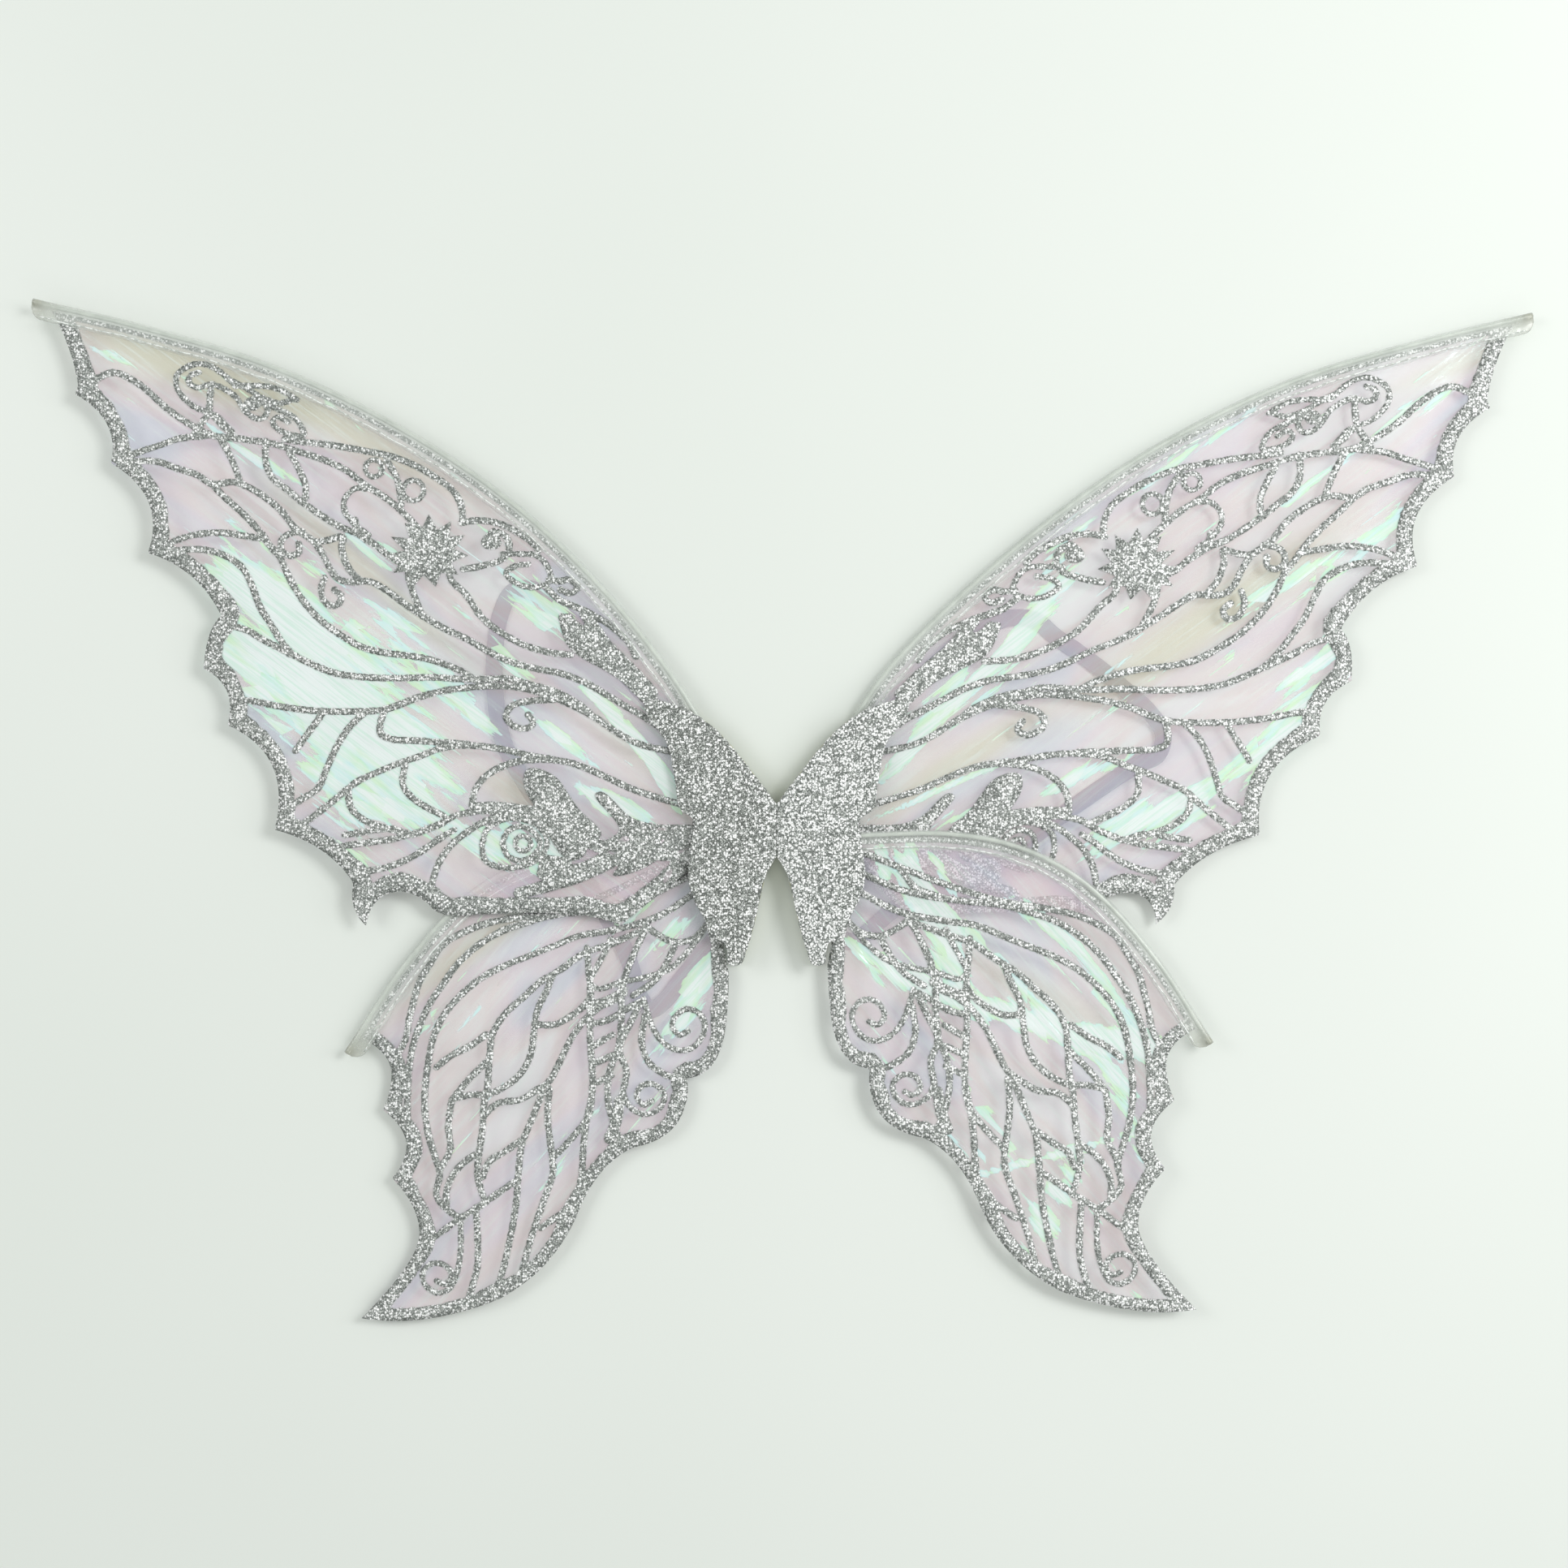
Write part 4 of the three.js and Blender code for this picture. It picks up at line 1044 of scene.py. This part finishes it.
def border_strips(level, side):
    """The border: a strip just inside the outline, wide at the points between the scallops and
    narrower in their middles, and a slimmer one along the leading edge and the root."""
    lead, edge, root = outline_parts(level, side)
    edge = evenly(np.vstack([edge, root[:1]]), EDGE_SPACING)
    corners = settled(SCALLOPS[level], level, side)[1::2]
    near = np.exp(-((distance_to(edge, corners) / CORNER_REACH) ** 2))
    wide = BORDER[level] + CORNER_EXTRA * near
    middle = toward_film(edge, side, wide[:, None] - BORDER_OVERLAP)
    slim = toward_film(lead, side, LEAD_INSET)
    inner = toward_film(root, side, ROOT_INSET)
    return [
        strip(middle, wavering(edge, wide, 0.3)), strip(slim, LEAD_BORDER),
        strip(inner, ROOT_BORDER),
    ]


def rounded(outline):
    """An outline with its corners cut twice: each side keeps its middle half."""
    for _ in range(2):
        ahead = np.roll(outline, -1, axis=0)
        outline = np.stack([outline * 0.75 + ahead * 0.25, outline * 0.25 + ahead * 0.75], axis=1)
        outline = outline.reshape(-1, 2)
    return outline


def ring(x, y, radius):
    """Points round a circle, once and a little more."""
    turn = np.linspace(0, 2 * np.pi * 1.02, 24)
    return np.stack([x + radius * np.cos(turn), y + radius * np.sin(turn)], axis=1)


print("points on a leaf after rounding:", len(rounded(lines_in(UPPER_LEAVES)[0])))

# %% The four lattices
GLITTER_THICK, GLITTER_LIFT = 0.4, 0.3
CURL, RING, CURL_SPACING = VEIN * 0.86, VEIN * 0.8, 1.2
for level, side in WINGS:
    veins, curls, rings, thick, leaves, stars = DRAWINGS[level]
    shapes = border_strips(level, side)
    shapes += [drawn(vein, level, side, VEIN) for vein in lines_in(veins)]
    shapes += [drawn(curl, level, side, CURL, CURL_SPACING) for curl in lines_in(curls)]
    shapes += [drawn(ring(*r), level, side, RING, CURL_SPACING) for r in rings]
    shapes += [drawn(line(v), level, side, half) for v, half in thick]
    flat = [rounded(leaf) for leaf in lines_in(leaves)] + lines_in(stars)
    for shape in [counterclockwise(settled(v, level, side)) for v in flat]:
        shapes.append((shape, [list(range(len(shape)))]))
    vertices, faces = united(shapes, outline_of(level, side))
    rise = RIB_MIDDLE[level, side] - FILM_DROP + GLITTER_LIFT + film_rise(vertices, level, side)
    lattice = new_piece(
        f"{level}_{side}_glitter_veins", np.column_stack([vertices, rise]), faces,
        f"{level}_{side}_wing", "wing_glitter", wing_glitter[side],
        [f"{level}_{side}_glitter_lattice"],
    )
    wall = lattice.modifiers.new("wall", "SOLIDIFY")
    wall.thickness, wall.offset = GLITTER_THICK * MM, 1
    print(level, side, "glitter:", len(faces), "triangles")

# %% [markdown]
# ## Ribs and sleeves
#
# A rib is a thin plastic rod. Its sleeve is a strip of clear vinyl folded round it, with the
# film caught between its two lips and a line of weld a little inside its open edge. Looked
# through, such a sleeve is milky, with a darker line on each side of the rod. Each is a
# profile carried along the rib's own line. The sleeve's profile shifts a little from step to
# step, because the weld puckers it.

# %% Clear vinyl and rod
vinyl, tree, shader = new_material(
    "clear_vinyl", Roughness=0.16, IOR=1.5, Specular_IOR_Level=0.7, Coat_Weight=0.4,
    Coat_Roughness=0.1,
)
place = node(tree, "TexCoord").outputs["Object"]
cloudy = grain_of(tree, 55.0, 3.0)
specks = node(tree, "TexVoronoi", {"Vector": place, "Scale": 420.0}).outputs["Distance"]
milk = ramp(tree, cloudy, (0.35, (0.70, 0.74, 0.70)), (0.65, (0.84, 0.88, 0.84)))
dotted = mixed(tree, ranged(tree, specks, (0.16, 0.3)), (0.93, 0.97, 0.94, 1), milk)
tip = node(tree, "Attribute", attribute_name="tip").outputs["Fac"]
tree.links.new(mixed(tree, tip, dotted, (0.40, 0.41, 0.34, 1)), shader.inputs["Base Color"])
veil = ranged(tree, cloudy, (0.0, 1.0), (0.12, 0.26))
tree.links.new(maths(tree, "MULTIPLY_ADD", tip, 0.4, veil), shader.inputs["Alpha"])
raised(tree, shader, grain_of(tree, 260.0, 2.0), 0.25, 0.0004)

rod, tree, shader = new_material("rib_rod", Roughness=0.32, Specular_IOR_Level=0.6)
grain = grain_of(tree, 130.0, 4.0)
coloured(tree, shader, grain, (0.3, (0.44, 0.48, 0.43)), (0.7, (0.60, 0.64, 0.58)))
raised(tree, shader, grain, 0.15, 0.0003)

weld, tree, shader = new_material("sleeve_weld", Roughness=0.35, Specular_IOR_Level=0.8)
beads = grain_of(tree, 480.0, 2.0)
coloured(tree, shader, beads, (0.42, (0.50, 0.54, 0.50)), (0.54, (0.95, 0.98, 0.95)))
raised(tree, shader, beads, 0.8, 0.0005)

tip_plug, tree, shader = new_material("melted_tip", Roughness=0.3, Specular_IOR_Level=0.6)
scorch = grain_of(tree, 300.0, 3.0)
coloured(tree, shader, scorch, (0.35, (0.33, 0.34, 0.27)), (0.65, (0.62, 0.64, 0.56)))
raised(tree, shader, scorch, 0.4, 0.0004)
print("sleeve materials:", vinyl.name, rod.name, weld.name, tip_plug.name)

# %% Ribs, sleeves and welds
RIB_RADIUS, RIB_ROOT, RIB_END = 1.25, 3.9, 5.0
SLEEVE_START, SLEEVE_DEPTH, SLEEVE_RADIUS, SLEEVE_WALL, LIP = 18, 9.2, 2.3, 0.3, 0.9
SLEEVE_OUTSIDE = 29  # points of the sleeve's profile that run round its outside
SLEEVE_TIP, TINT_REACH = 6, 13
WELD_AT, WELD_WANDER, WELD_RADIUS = 7.6, 0.35, 0.5


def circle(radius, sides):
    """Points round a circle, as (across, up)."""
    turn = np.linspace(0, 2 * np.pi, sides, endpoint=False)
    return radius * np.stack([np.cos(turn), np.sin(turn)], axis=1)


def rounded_ends(path, radius):
    """How much of its width a rod keeps at each step: (1 - (1 - d/r)^2)^0.5 within r of an end."""
    run = np.linspace(0, length_of(path), len(path))
    near = np.minimum(run, run[-1] - run) / radius
    return np.sqrt(np.clip(1 - np.clip(1 - near, 0, 1) ** 2, 0.02, 1))


def sleeve_profiles(path, turn):
    """A wall round the rib and two lips towards the film: outside it runs at the sleeve's
    radius round the rod and eases into the lip's height, inside it runs a wall's thickness
    nearer. The lips' free edge wanders by three tenths of a millimetre, and over the last 6 mm
    the lips shrink as (1 - (1 - d/6)^2)^0.5 of their depth, which rounds the tip."""
    arc = np.radians(np.linspace(62, 298, 19))
    outer = SLEEVE_RADIUS * np.stack([np.cos(arc), np.sin(arc)], axis=1)
    inner = (SLEEVE_RADIUS - SLEEVE_WALL) * np.stack([np.cos(arc), np.sin(arc)], axis=1)[::-1]
    lip = np.array([[SLEEVE_DEPTH, 1.0], [7.5, 1.0], [5.5, 1.05], [3.6, 1.2], [2.2, 1.55]])
    top = lip * [1, LIP + SLEEVE_WALL]
    under = lip[::-1] * [1, LIP]
    profile = np.vstack([
        top, outer, (top * [1, -1])[::-1], (under * [1, -1])[::-1], inner, under,
    ])
    run = np.linspace(0, length_of(path), len(path))
    wander = 0.3 * np.sin(run / 7) + 0.2 * np.sin(run / 2.6 + 1)
    share = np.clip(profile[:, 0] / SLEEVE_DEPTH, 0, 1)[None] ** 2
    all_steps = np.repeat(profile[None], len(path), axis=0)
    all_steps[..., 0] += share * wander[:, None]
    all_steps[..., 1] *= 1 + 0.10 * np.sin(run / 3.1)[:, None] * share
    left = (run[-1] - run) / SLEEVE_TIP
    taper = np.sqrt(np.clip(1 - np.clip(1 - left, 0, 1) ** 2, 0.12, 1))
    all_steps[..., 0] *= np.where(profile[None, :, 0] > 0, taper[:, None], 1) * turn
    return all_steps


print("sleeve profile:", len(sleeve_profiles(rib_line("lower", "left"), 1)[0]), "points")

# %% The four ribs and their sleeves
for level, side in WINGS:
    turn = 1 if side == "left" else -1
    middle = RIB_MIDDLE[level, side]
    body = f"{level}_{side}_wing"
    line_of_rib = rib_line(level, side)
    whole = length_of(line_of_rib)

    path = part_of(line_of_rib, RIB_ROOT, whole - RIB_END, 0.8)
    profile = circle(RIB_RADIUS, 16)[None] * rounded_ends(path, RIB_RADIUS)[:, None, None]
    vertices, faces = swept(path, middle, profile)
    new_piece(
        f"{level}_{side}_rod", vertices, faces, body, "rib_plastic", rod, [f"{level}_{side}_rib"]
    )

    path = part_of(line_of_rib, SLEEVE_START, whole, 1.6)
    vertices, faces = swept(path, middle, sleeve_profiles(path, turn))
    sleeve = new_piece(
        f"{level}_{side}_vinyl_sleeve", vertices, faces, body, "edge_sleeve", vinyl,
        [f"{level}_{side}_edge_sleeve"],
    )
    from_end = np.linalg.norm(vertices[:, :2] - path[-1], axis=1)
    add_attribute(sleeve.data, "tip", np.exp(-from_end / TINT_REACH))
    sleeve.visible_shadow = False

    tip = part_of(line_of_rib, whole - 5.5, whole + 0.6, 0.4)
    profile = circle(SLEEVE_RADIUS - 0.05, 16)[None] * rounded_ends(tip, 2.2)[:, None, None]
    vertices, faces = swept(tip, middle, profile)
    plug = new_piece(
        f"{level}_{side}_sleeve_tip", vertices, faces, body, "edge_sleeve", tip_plug
    )

    run = np.linspace(0, length_of(path), len(path))
    wander = WELD_AT + WELD_WANDER * np.sin(run / 5) * np.sin(run / 13)
    seam = path[:, :2] + turn * sideways(path) * wander[:, None]
    height = middle + LIP + SLEEVE_WALL + 0.05
    size = 0.7 + 0.3 * np.sin(run * 1.7) * np.sin(run / 3)
    beaded = circle(WELD_RADIUS, 8)[None] * size[:, None, None]
    vertices, faces = swept(seam[2:-4], height, (beaded * [1.0, 0.5])[2:-4])
    bead = new_piece(f"{level}_{side}_sleeve_weld", vertices, faces, body, "edge_sleeve", weld)
    cut = length_of(sleeve_profiles(path, turn)[0][:SLEEVE_OUTSIDE])
    print(level, side, "sleeve cut:", round(length_of(path)), "x", round(cut, 1), "mm")
    print(level, side, "rib:", round(whole), "mm")

for level, side in WINGS:
    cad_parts[f"{level}_{side}_rib_button"].data.materials.clear()
    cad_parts[f"{level}_{side}_rib_button"].data.materials.append(rod)

# %% [markdown]
# ## Hub
#
# The hub is a sandwich of craft foam: a glitter sheet in front, a thick core that grips the
# ribs, and a thin sheet behind. Each lobe's glitter sheet is made as a rounded plate: the
# outline is stacked in rings that turn in over the edge by a quarter circle, and the last ring
# is filled. The real sheet runs across the spine and has a crease down its middle, so each
# half here reaches the middle and dips there.

# %% Foam and glitter foam
foam, tree, shader = new_material("craft_foam", Roughness=0.86, Specular_IOR_Level=0.25)
place = node(tree, "TexCoord").outputs["Object"]
pores = node(tree, "TexVoronoi", {"Vector": place, "Scale": 1900.0})
blotch = grain_of(tree, 90.0, 4.0)
coloured(tree, shader, blotch, (0.3, (0.50, 0.51, 0.37)), (0.7, (0.62, 0.63, 0.48)))
raised(tree, shader, pores.outputs["Distance"], 0.5, 0.0002)
# Painted light: the lobes are copies of one glitter foam. The right one has far more white cells
# and a lighter ground, as if lit from the right, and the left one is painted in shade.
hub_glitter = {
    "left": glitter_material("hub_glitter_left_painted_shade", (0.12, 0.135, 0.12), 0.56),
    "right": glitter_material("hub_glitter_right_painted_light", (0.15, 0.17, 0.155), 0.30),
}
print("hub materials:", foam.name, *[glitter.name for glitter in hub_glitter.values()])

# %% Glitter sheets of the hub
HUB_FRONT, HUB_THICK, HUB_EDGE = 12.0, 2.0, 0.7
HUB_BACK_THICK, HUB_BACK_EDGE = 1.5, 0.35
SPINE_HALF, SPINE_GAP = 2.5, 0.3
LOBE = line(
    "-14,22.5 -30,42 -43.5,54 -57,61 -70,64.5 -76.7,62 -75,54.5 -66,43 -62.5,35 -60.3,25"
    " -58.5,12 -56,1 -48,-6 -49.3,-15.5 -50.8,-27 -51.2,-42 -46.5,-55 -42,-63 -40,-69"
    " -36,-74 -30.5,-77 -29,-83 -28.4,-88.6 -27.6,-89.6 -26,-89.8 -21.5,-89.6 -20.2,-89"
    " -19.4,-87.4 -13,-66 -6,-37"
)


def mirrored(points, side):
    """Points drawn on the left, or their mirror image in the plane x = 0."""
    return points * ([1, 1] if side == "left" else [-1, 1])


def lobe_outline(side, inner, top, bottom, ragged=0.0):
    """A lobe from its inner edge at the spine round its smoothed outline and back. Its cut
    edge wanders by a sum of two sines of the distance along it."""
    path = smooth(np.vstack([[inner, top], LOBE, [inner, bottom]]), 1.4)
    run = np.linspace(0, length_of(path), len(path))
    away = ragged * (np.sin(run / 2.1) * np.sin(run / 5.3) + 0.5 * np.sin(run / 1.1))
    away = away * np.minimum(1, np.minimum(run, run[-1] - run) / 6)
    path = path + sideways(path) * away[:, None]
    return counterclockwise(mirrored(path, side))


def rounded_plate(outline, low, high, edge, spacing, rise=None):
    """A plate between two heights. Ring k of its rounded top edge is moved in by
    edge (1 - cos a) and lies edge (1 - sin a) below the top, for a from 0 to a right angle, and
    the bottom edge is the same upside down. Rise, if given, is a function added to the top."""
    around = np.vstack([outline[-1:], outline, outline[:1]])
    inward = sideways(around)[1:-1]
    a = np.radians([0, 30, 60, 90])
    insets = np.concatenate([(edge * (1 - np.cos(a)))[::-1], edge * (1 - np.cos(a))])
    heights = np.concatenate([(low + edge * (1 - np.sin(a)))[::-1], high - edge * (1 - np.sin(a))])
    rings = outline[None] + inward[None] * insets[:, None, None]
    n, m = len(outline), len(insets)
    walls = np.concatenate([rings, np.broadcast_to(heights[:, None, None], (m, n, 1))], axis=2)
    i, j = np.meshgrid(np.arange(m - 1), np.arange(n), indexing="ij")
    p, q = i * n + j, i * n + (j + 1) % n
    quads = np.stack([p, q, q + n, p + n], axis=-1).reshape(-1, 4).tolist()
    cap, faces = filled(rings[-1], spacing)
    shapes = [(walls.reshape(-1, 3), quads)]
    for height, order in ((high, 1), (low, -1)):
        points = np.column_stack([cap, np.full(len(cap), height)])
        shapes.append((points, [list(f)[::order] for f in faces]))
    vertices, faces = joined(shapes)
    if rise is not None:
        share = np.clip((vertices[:, 2] - low) / (high - low), 0, 1)
        vertices[:, 2] += share * rise(vertices)
    return vertices, faces


def welded(piece):
    """Merges a piece's doubled points and turns its faces outwards."""
    shape = bmesh.new()
    shape.from_mesh(piece.data)
    bmesh.ops.remove_doubles(shape, verts=shape.verts, dist=2e-5)
    bmesh.ops.recalc_face_normals(shape, faces=shape.faces)
    shape.to_mesh(piece.data)
    shape.free()
    return piece


CREASE_DEPTH, CREASE_WIDTH = 1.2, 1.3


def sheet_rise(points):
    """The glitter sheet's height: it dips by e^(-|x|/width) at the crease and undulates by two
    low sines of x and y."""
    x, y = points[:, 0], points[:, 1]
    dip = -CREASE_DEPTH * np.exp(-np.abs(x) / CREASE_WIDTH)
    return dip + 0.16 * np.sin(x / 9 + y / 23) + 0.12 * np.sin(y / 11 - x / 17)


print("crease depth:", CREASE_DEPTH, "mm")

# %% The two lobes
for side, mark in (("left", -1), ("right", 1)):
    outline = lobe_outline(side, inner=-0.06, top=4.2, bottom=-26.5, ragged=0.22)
    front = rounded_plate(
        outline, HUB_FRONT - HUB_THICK, HUB_FRONT, HUB_EDGE, spacing=1.8, rise=sheet_rise
    )
    stands_for = [f"hub_front_{side}"] + (["spine_front_crease"] if side == "left" else [])
    front = welded(new_piece(
        f"hub_glitter_sheet_{side}", *front, None, "hub_glitter", hub_glitter[side], stands_for
    ))
    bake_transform(front)
    print(side, "lobe:", round(turned_area(outline) / 100, 1), "cm2")

    outline = lobe_outline(side, inner=-SPINE_HALF - SPINE_GAP, top=6.5, bottom=-30.5, ragged=0.15)
    back = rounded_plate(outline, 0.0, HUB_BACK_THICK, HUB_BACK_EDGE, spacing=4)
    back = welded(new_piece(
        f"hub_foam_sheet_{side}", *back, f"{side}_half", "hub_foam", foam, [f"hub_back_{side}"]
    ))

# %% [markdown]
# The cores and the spine's own strips keep the shape that the CAD gives them, pockets for the
# ribs and all. Cut foam has soft edges, so each gets a copy of its mesh with the doubled
# points merged and a small bevel.

# %% Foam cores
for cad_name, name, body in [
    ("hub_core_left", "foam_core_left", "left_half"),
    ("hub_core_right", "foam_core_right", "right_half"),
    ("spine_core", "foam_core_spine", "spine"),
    ("spine_back_strip", "foam_strip_spine", "spine"),
]:
    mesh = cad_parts[cad_name].data.copy()
    mesh.materials.clear()
    mesh.materials.append(foam)
    core = bpy.data.objects.new(name, mesh)
    bpy.context.scene.collection.objects.link(core)
    welded(core)
    soft = core.modifiers.new("soft_edges", "BEVEL")
    soft.width, soft.segments, soft.limit_method, soft.angle_limit = 0.3 * MM, 2, "ANGLE", 0.7
    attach(core, body)
    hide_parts(cad_name)
    print(name, len(mesh.polygons), "faces")

# %% [markdown]
# ## Felt patches and their stitches
#
# The ends of the elastic are sewn to white felt patches with a boxed cross, which is how such
# straps are usually held: a rectangle of stitches with its two diagonals. A stitch is a short
# thread that dives into the cloth at both ends, so it is a small tube along an arch.

# %% Felt and thread
felt, tree, shader = new_material(
    "white_felt", Roughness=0.95, Sheen_Weight=0.5, Specular_IOR_Level=0.1
)
fibres = grain_of(tree, 900.0, 6.0, Distortion=1.5)
coloured(tree, shader, fibres, (0.3, (0.66, 0.67, 0.65)), (0.7, (0.88, 0.89, 0.87)))
raised(tree, shader, fibres, 0.7, 0.0003)

thread, tree, shader = new_material("white_thread", Roughness=0.6, Sheen_Weight=0.3)
place = node(tree, "TexCoord").outputs["Object"]
ply = node(tree, "TexWave", {"Vector": place, "Scale": 1400.0}, bands_direction="DIAGONAL")
coloured(tree, shader, ply.outputs["Fac"], (0.2, (0.70, 0.71, 0.70)), (0.8, (0.93, 0.93, 0.92)))
print("patch materials:", felt.name, thread.name)

# %% Patches and stitches
TAB_SIZE, TAB_LOW, TAB_HIGH, TAB_CORNER, TAB_EDGE = (20, 15), -1.1, -0.3, 2.5, 0.25
SEWN_FROM, SEWN_TO, SEWN_HALF = 1.2, 9.2, 3.6
STITCH, STITCH_GAP, THREAD_RADIUS = 2.0, 0.7, 0.18


def rounded_rectangle(length, width, corner):
    """A rectangle's outline with quarter circles at its corners, counter-clockwise."""
    turn = np.linspace(0, np.pi / 2, 7)
    arc = corner * np.stack([np.cos(turn), np.sin(turn)], axis=1)
    middle = np.array([length / 2 - corner, width / 2 - corner])
    quarters = []
    for k in range(4):
        c, s = np.round([np.cos(k * np.pi / 2), np.sin(k * np.pi / 2)])
        centre = middle * [[1, 1], [-1, 1], [-1, -1], [1, -1]][k]
        quarters.append(arc @ np.array([[c, s], [-s, c]]) + centre)
    return evenly(closed(np.vstack(quarters)), 1.0)[:-1]


def stitches(lines_to_sew, height):
    """Threads along straight lines: each is a tube whose height below the cloth is
    (1 - s^4) times its radius for s from -1 to 1 along it."""
    shapes = []
    for start, end in lines_to_sew:
        start, end = np.array(start, float), np.array(end, float)
        long = np.linalg.norm(end - start)
        for at in np.arange(0, long - STITCH, STITCH + STITCH_GAP):
            s = np.linspace(-1, 1, 7)
            path = start + (end - start) / long * (at + (s[:, None] + 1) / 2 * STITCH)
            dive = height - THREAD_RADIUS * (1 - s**4)
            shapes.append(swept(path, dive, circle(THREAD_RADIUS, 6)))
    return joined(shapes)


print("stitch length:", STITCH, "mm")

# %% The four patches
for side, route in STRAP_ROUTES.items():
    path = smooth(route, STRAP_SPACING)
    for level, end, inner in (("upper", path[0], path[7]), ("lower", path[-1], path[-8])):
        along = (inner - end) / np.linalg.norm(inner - end)
        across = np.array([-along[1], along[0]])
        turned = np.array([along, across])
        outline = rounded_rectangle(*TAB_SIZE, TAB_CORNER) @ turned + end
        outline = counterclockwise(outline)
        patch = rounded_plate(outline, TAB_LOW, TAB_HIGH, TAB_EDGE, spacing=2)
        patch = welded(new_piece(
            f"{level}_{side}_felt_patch", *patch, f"{side}_half", "strap_tab_felt", felt,
            [f"{side}_strap_tab_{level}"],
        ))
        near, far, half = SEWN_FROM, SEWN_TO, SEWN_HALF
        box = np.array([[near, -half], [far, -half], [far, half], [near, half]]) @ turned + end
        sewn = [(box[k], box[(k + 1) % 4]) for k in range(4)] + [(box[0], box[2]), (box[1], box[3])]
        vertices, faces = stitches(sewn, STRAP_MIDDLE - STRAP_THICK / 2 + 0.05)
        sewing = new_piece(
            f"{level}_{side}_patch_stitches", vertices, faces, f"{side}_half", "strap_elastic",
            thread,
        )
        print(side, level, "patch:", len(patch.data.polygons), "faces")

# %% [markdown]
# ## Table and light
#
# The wings lie on a pale table under wide, soft light. Glitter and film need contrast to come
# alive: a few bright panels in a dimmer room, so that some flakes mirror a panel and others
# the room. The panels are wide, which keeps the shadows on the table soft.

# %% Table
TABLE_HEIGHT, TABLE_HALF = -2.7, 1600
table_material, tree, shader = new_material("pale_table", Roughness=0.55, Specular_IOR_Level=0.25)
cast = grain_of(tree, 1.6, 2.0)
coloured(tree, shader, cast, (0.3, (0.79, 0.83, 0.785)), (0.7, (0.83, 0.865, 0.825)))
table = bpy.data.meshes.new("table")
corners = TABLE_HALF * np.array([[-1, -1], [1, -1], [1, 1], [-1, 1]])
corners = np.column_stack([corners, np.full(4, TABLE_HEIGHT)]) * MM
table.from_pydata(corners.tolist(), [], [[0, 1, 2, 3]])
table.materials.append(table_material)
table = bpy.data.objects.new("table", table)
bpy.context.scene.collection.objects.link(table)
print("table height:", TABLE_HEIGHT, "mm")

# %% Lights
def panel(name, place, size, power):
    """A rectangular area light that faces the middle of the wings: its -Z is turned along the
    line from it to the origin. Metres and watts."""
    light = bpy.data.lights.new(name, "AREA")
    light.shape, light.size, light.size_y = "RECTANGLE", *size
    light.energy = power
    lamp = bpy.data.objects.new(name, light)
    lamp.location = place
    lamp.rotation_euler = (-Vector(place)).to_track_quat("-Z", "Y").to_euler()
    bpy.context.scene.collection.objects.link(lamp)


panel("ceiling_panel", (1.45, 0.75, 1.7), (0.8, 0.8), 19)
panel("left_panel", (-1.5, 0.5, 1.3), (0.9, 0.9), 8)
panel("front_panel", (0.5, -1.7, 1.2), (1.2, 0.5), 1.5)
panel("right_panel", (1.6, 0.2, 1.1), (0.6, 1.0), 7)
world = bpy.data.worlds.new("room")
world.use_nodes = True
background = world.node_tree.nodes["Background"]
background.inputs["Color"].default_value = (0.97, 1.0, 0.97, 1)
background.inputs["Strength"].default_value = 0.55
bpy.context.scene.world = world
bpy.context.scene.view_settings.view_transform = "Standard"
print("lights:", len(bpy.data.lights))
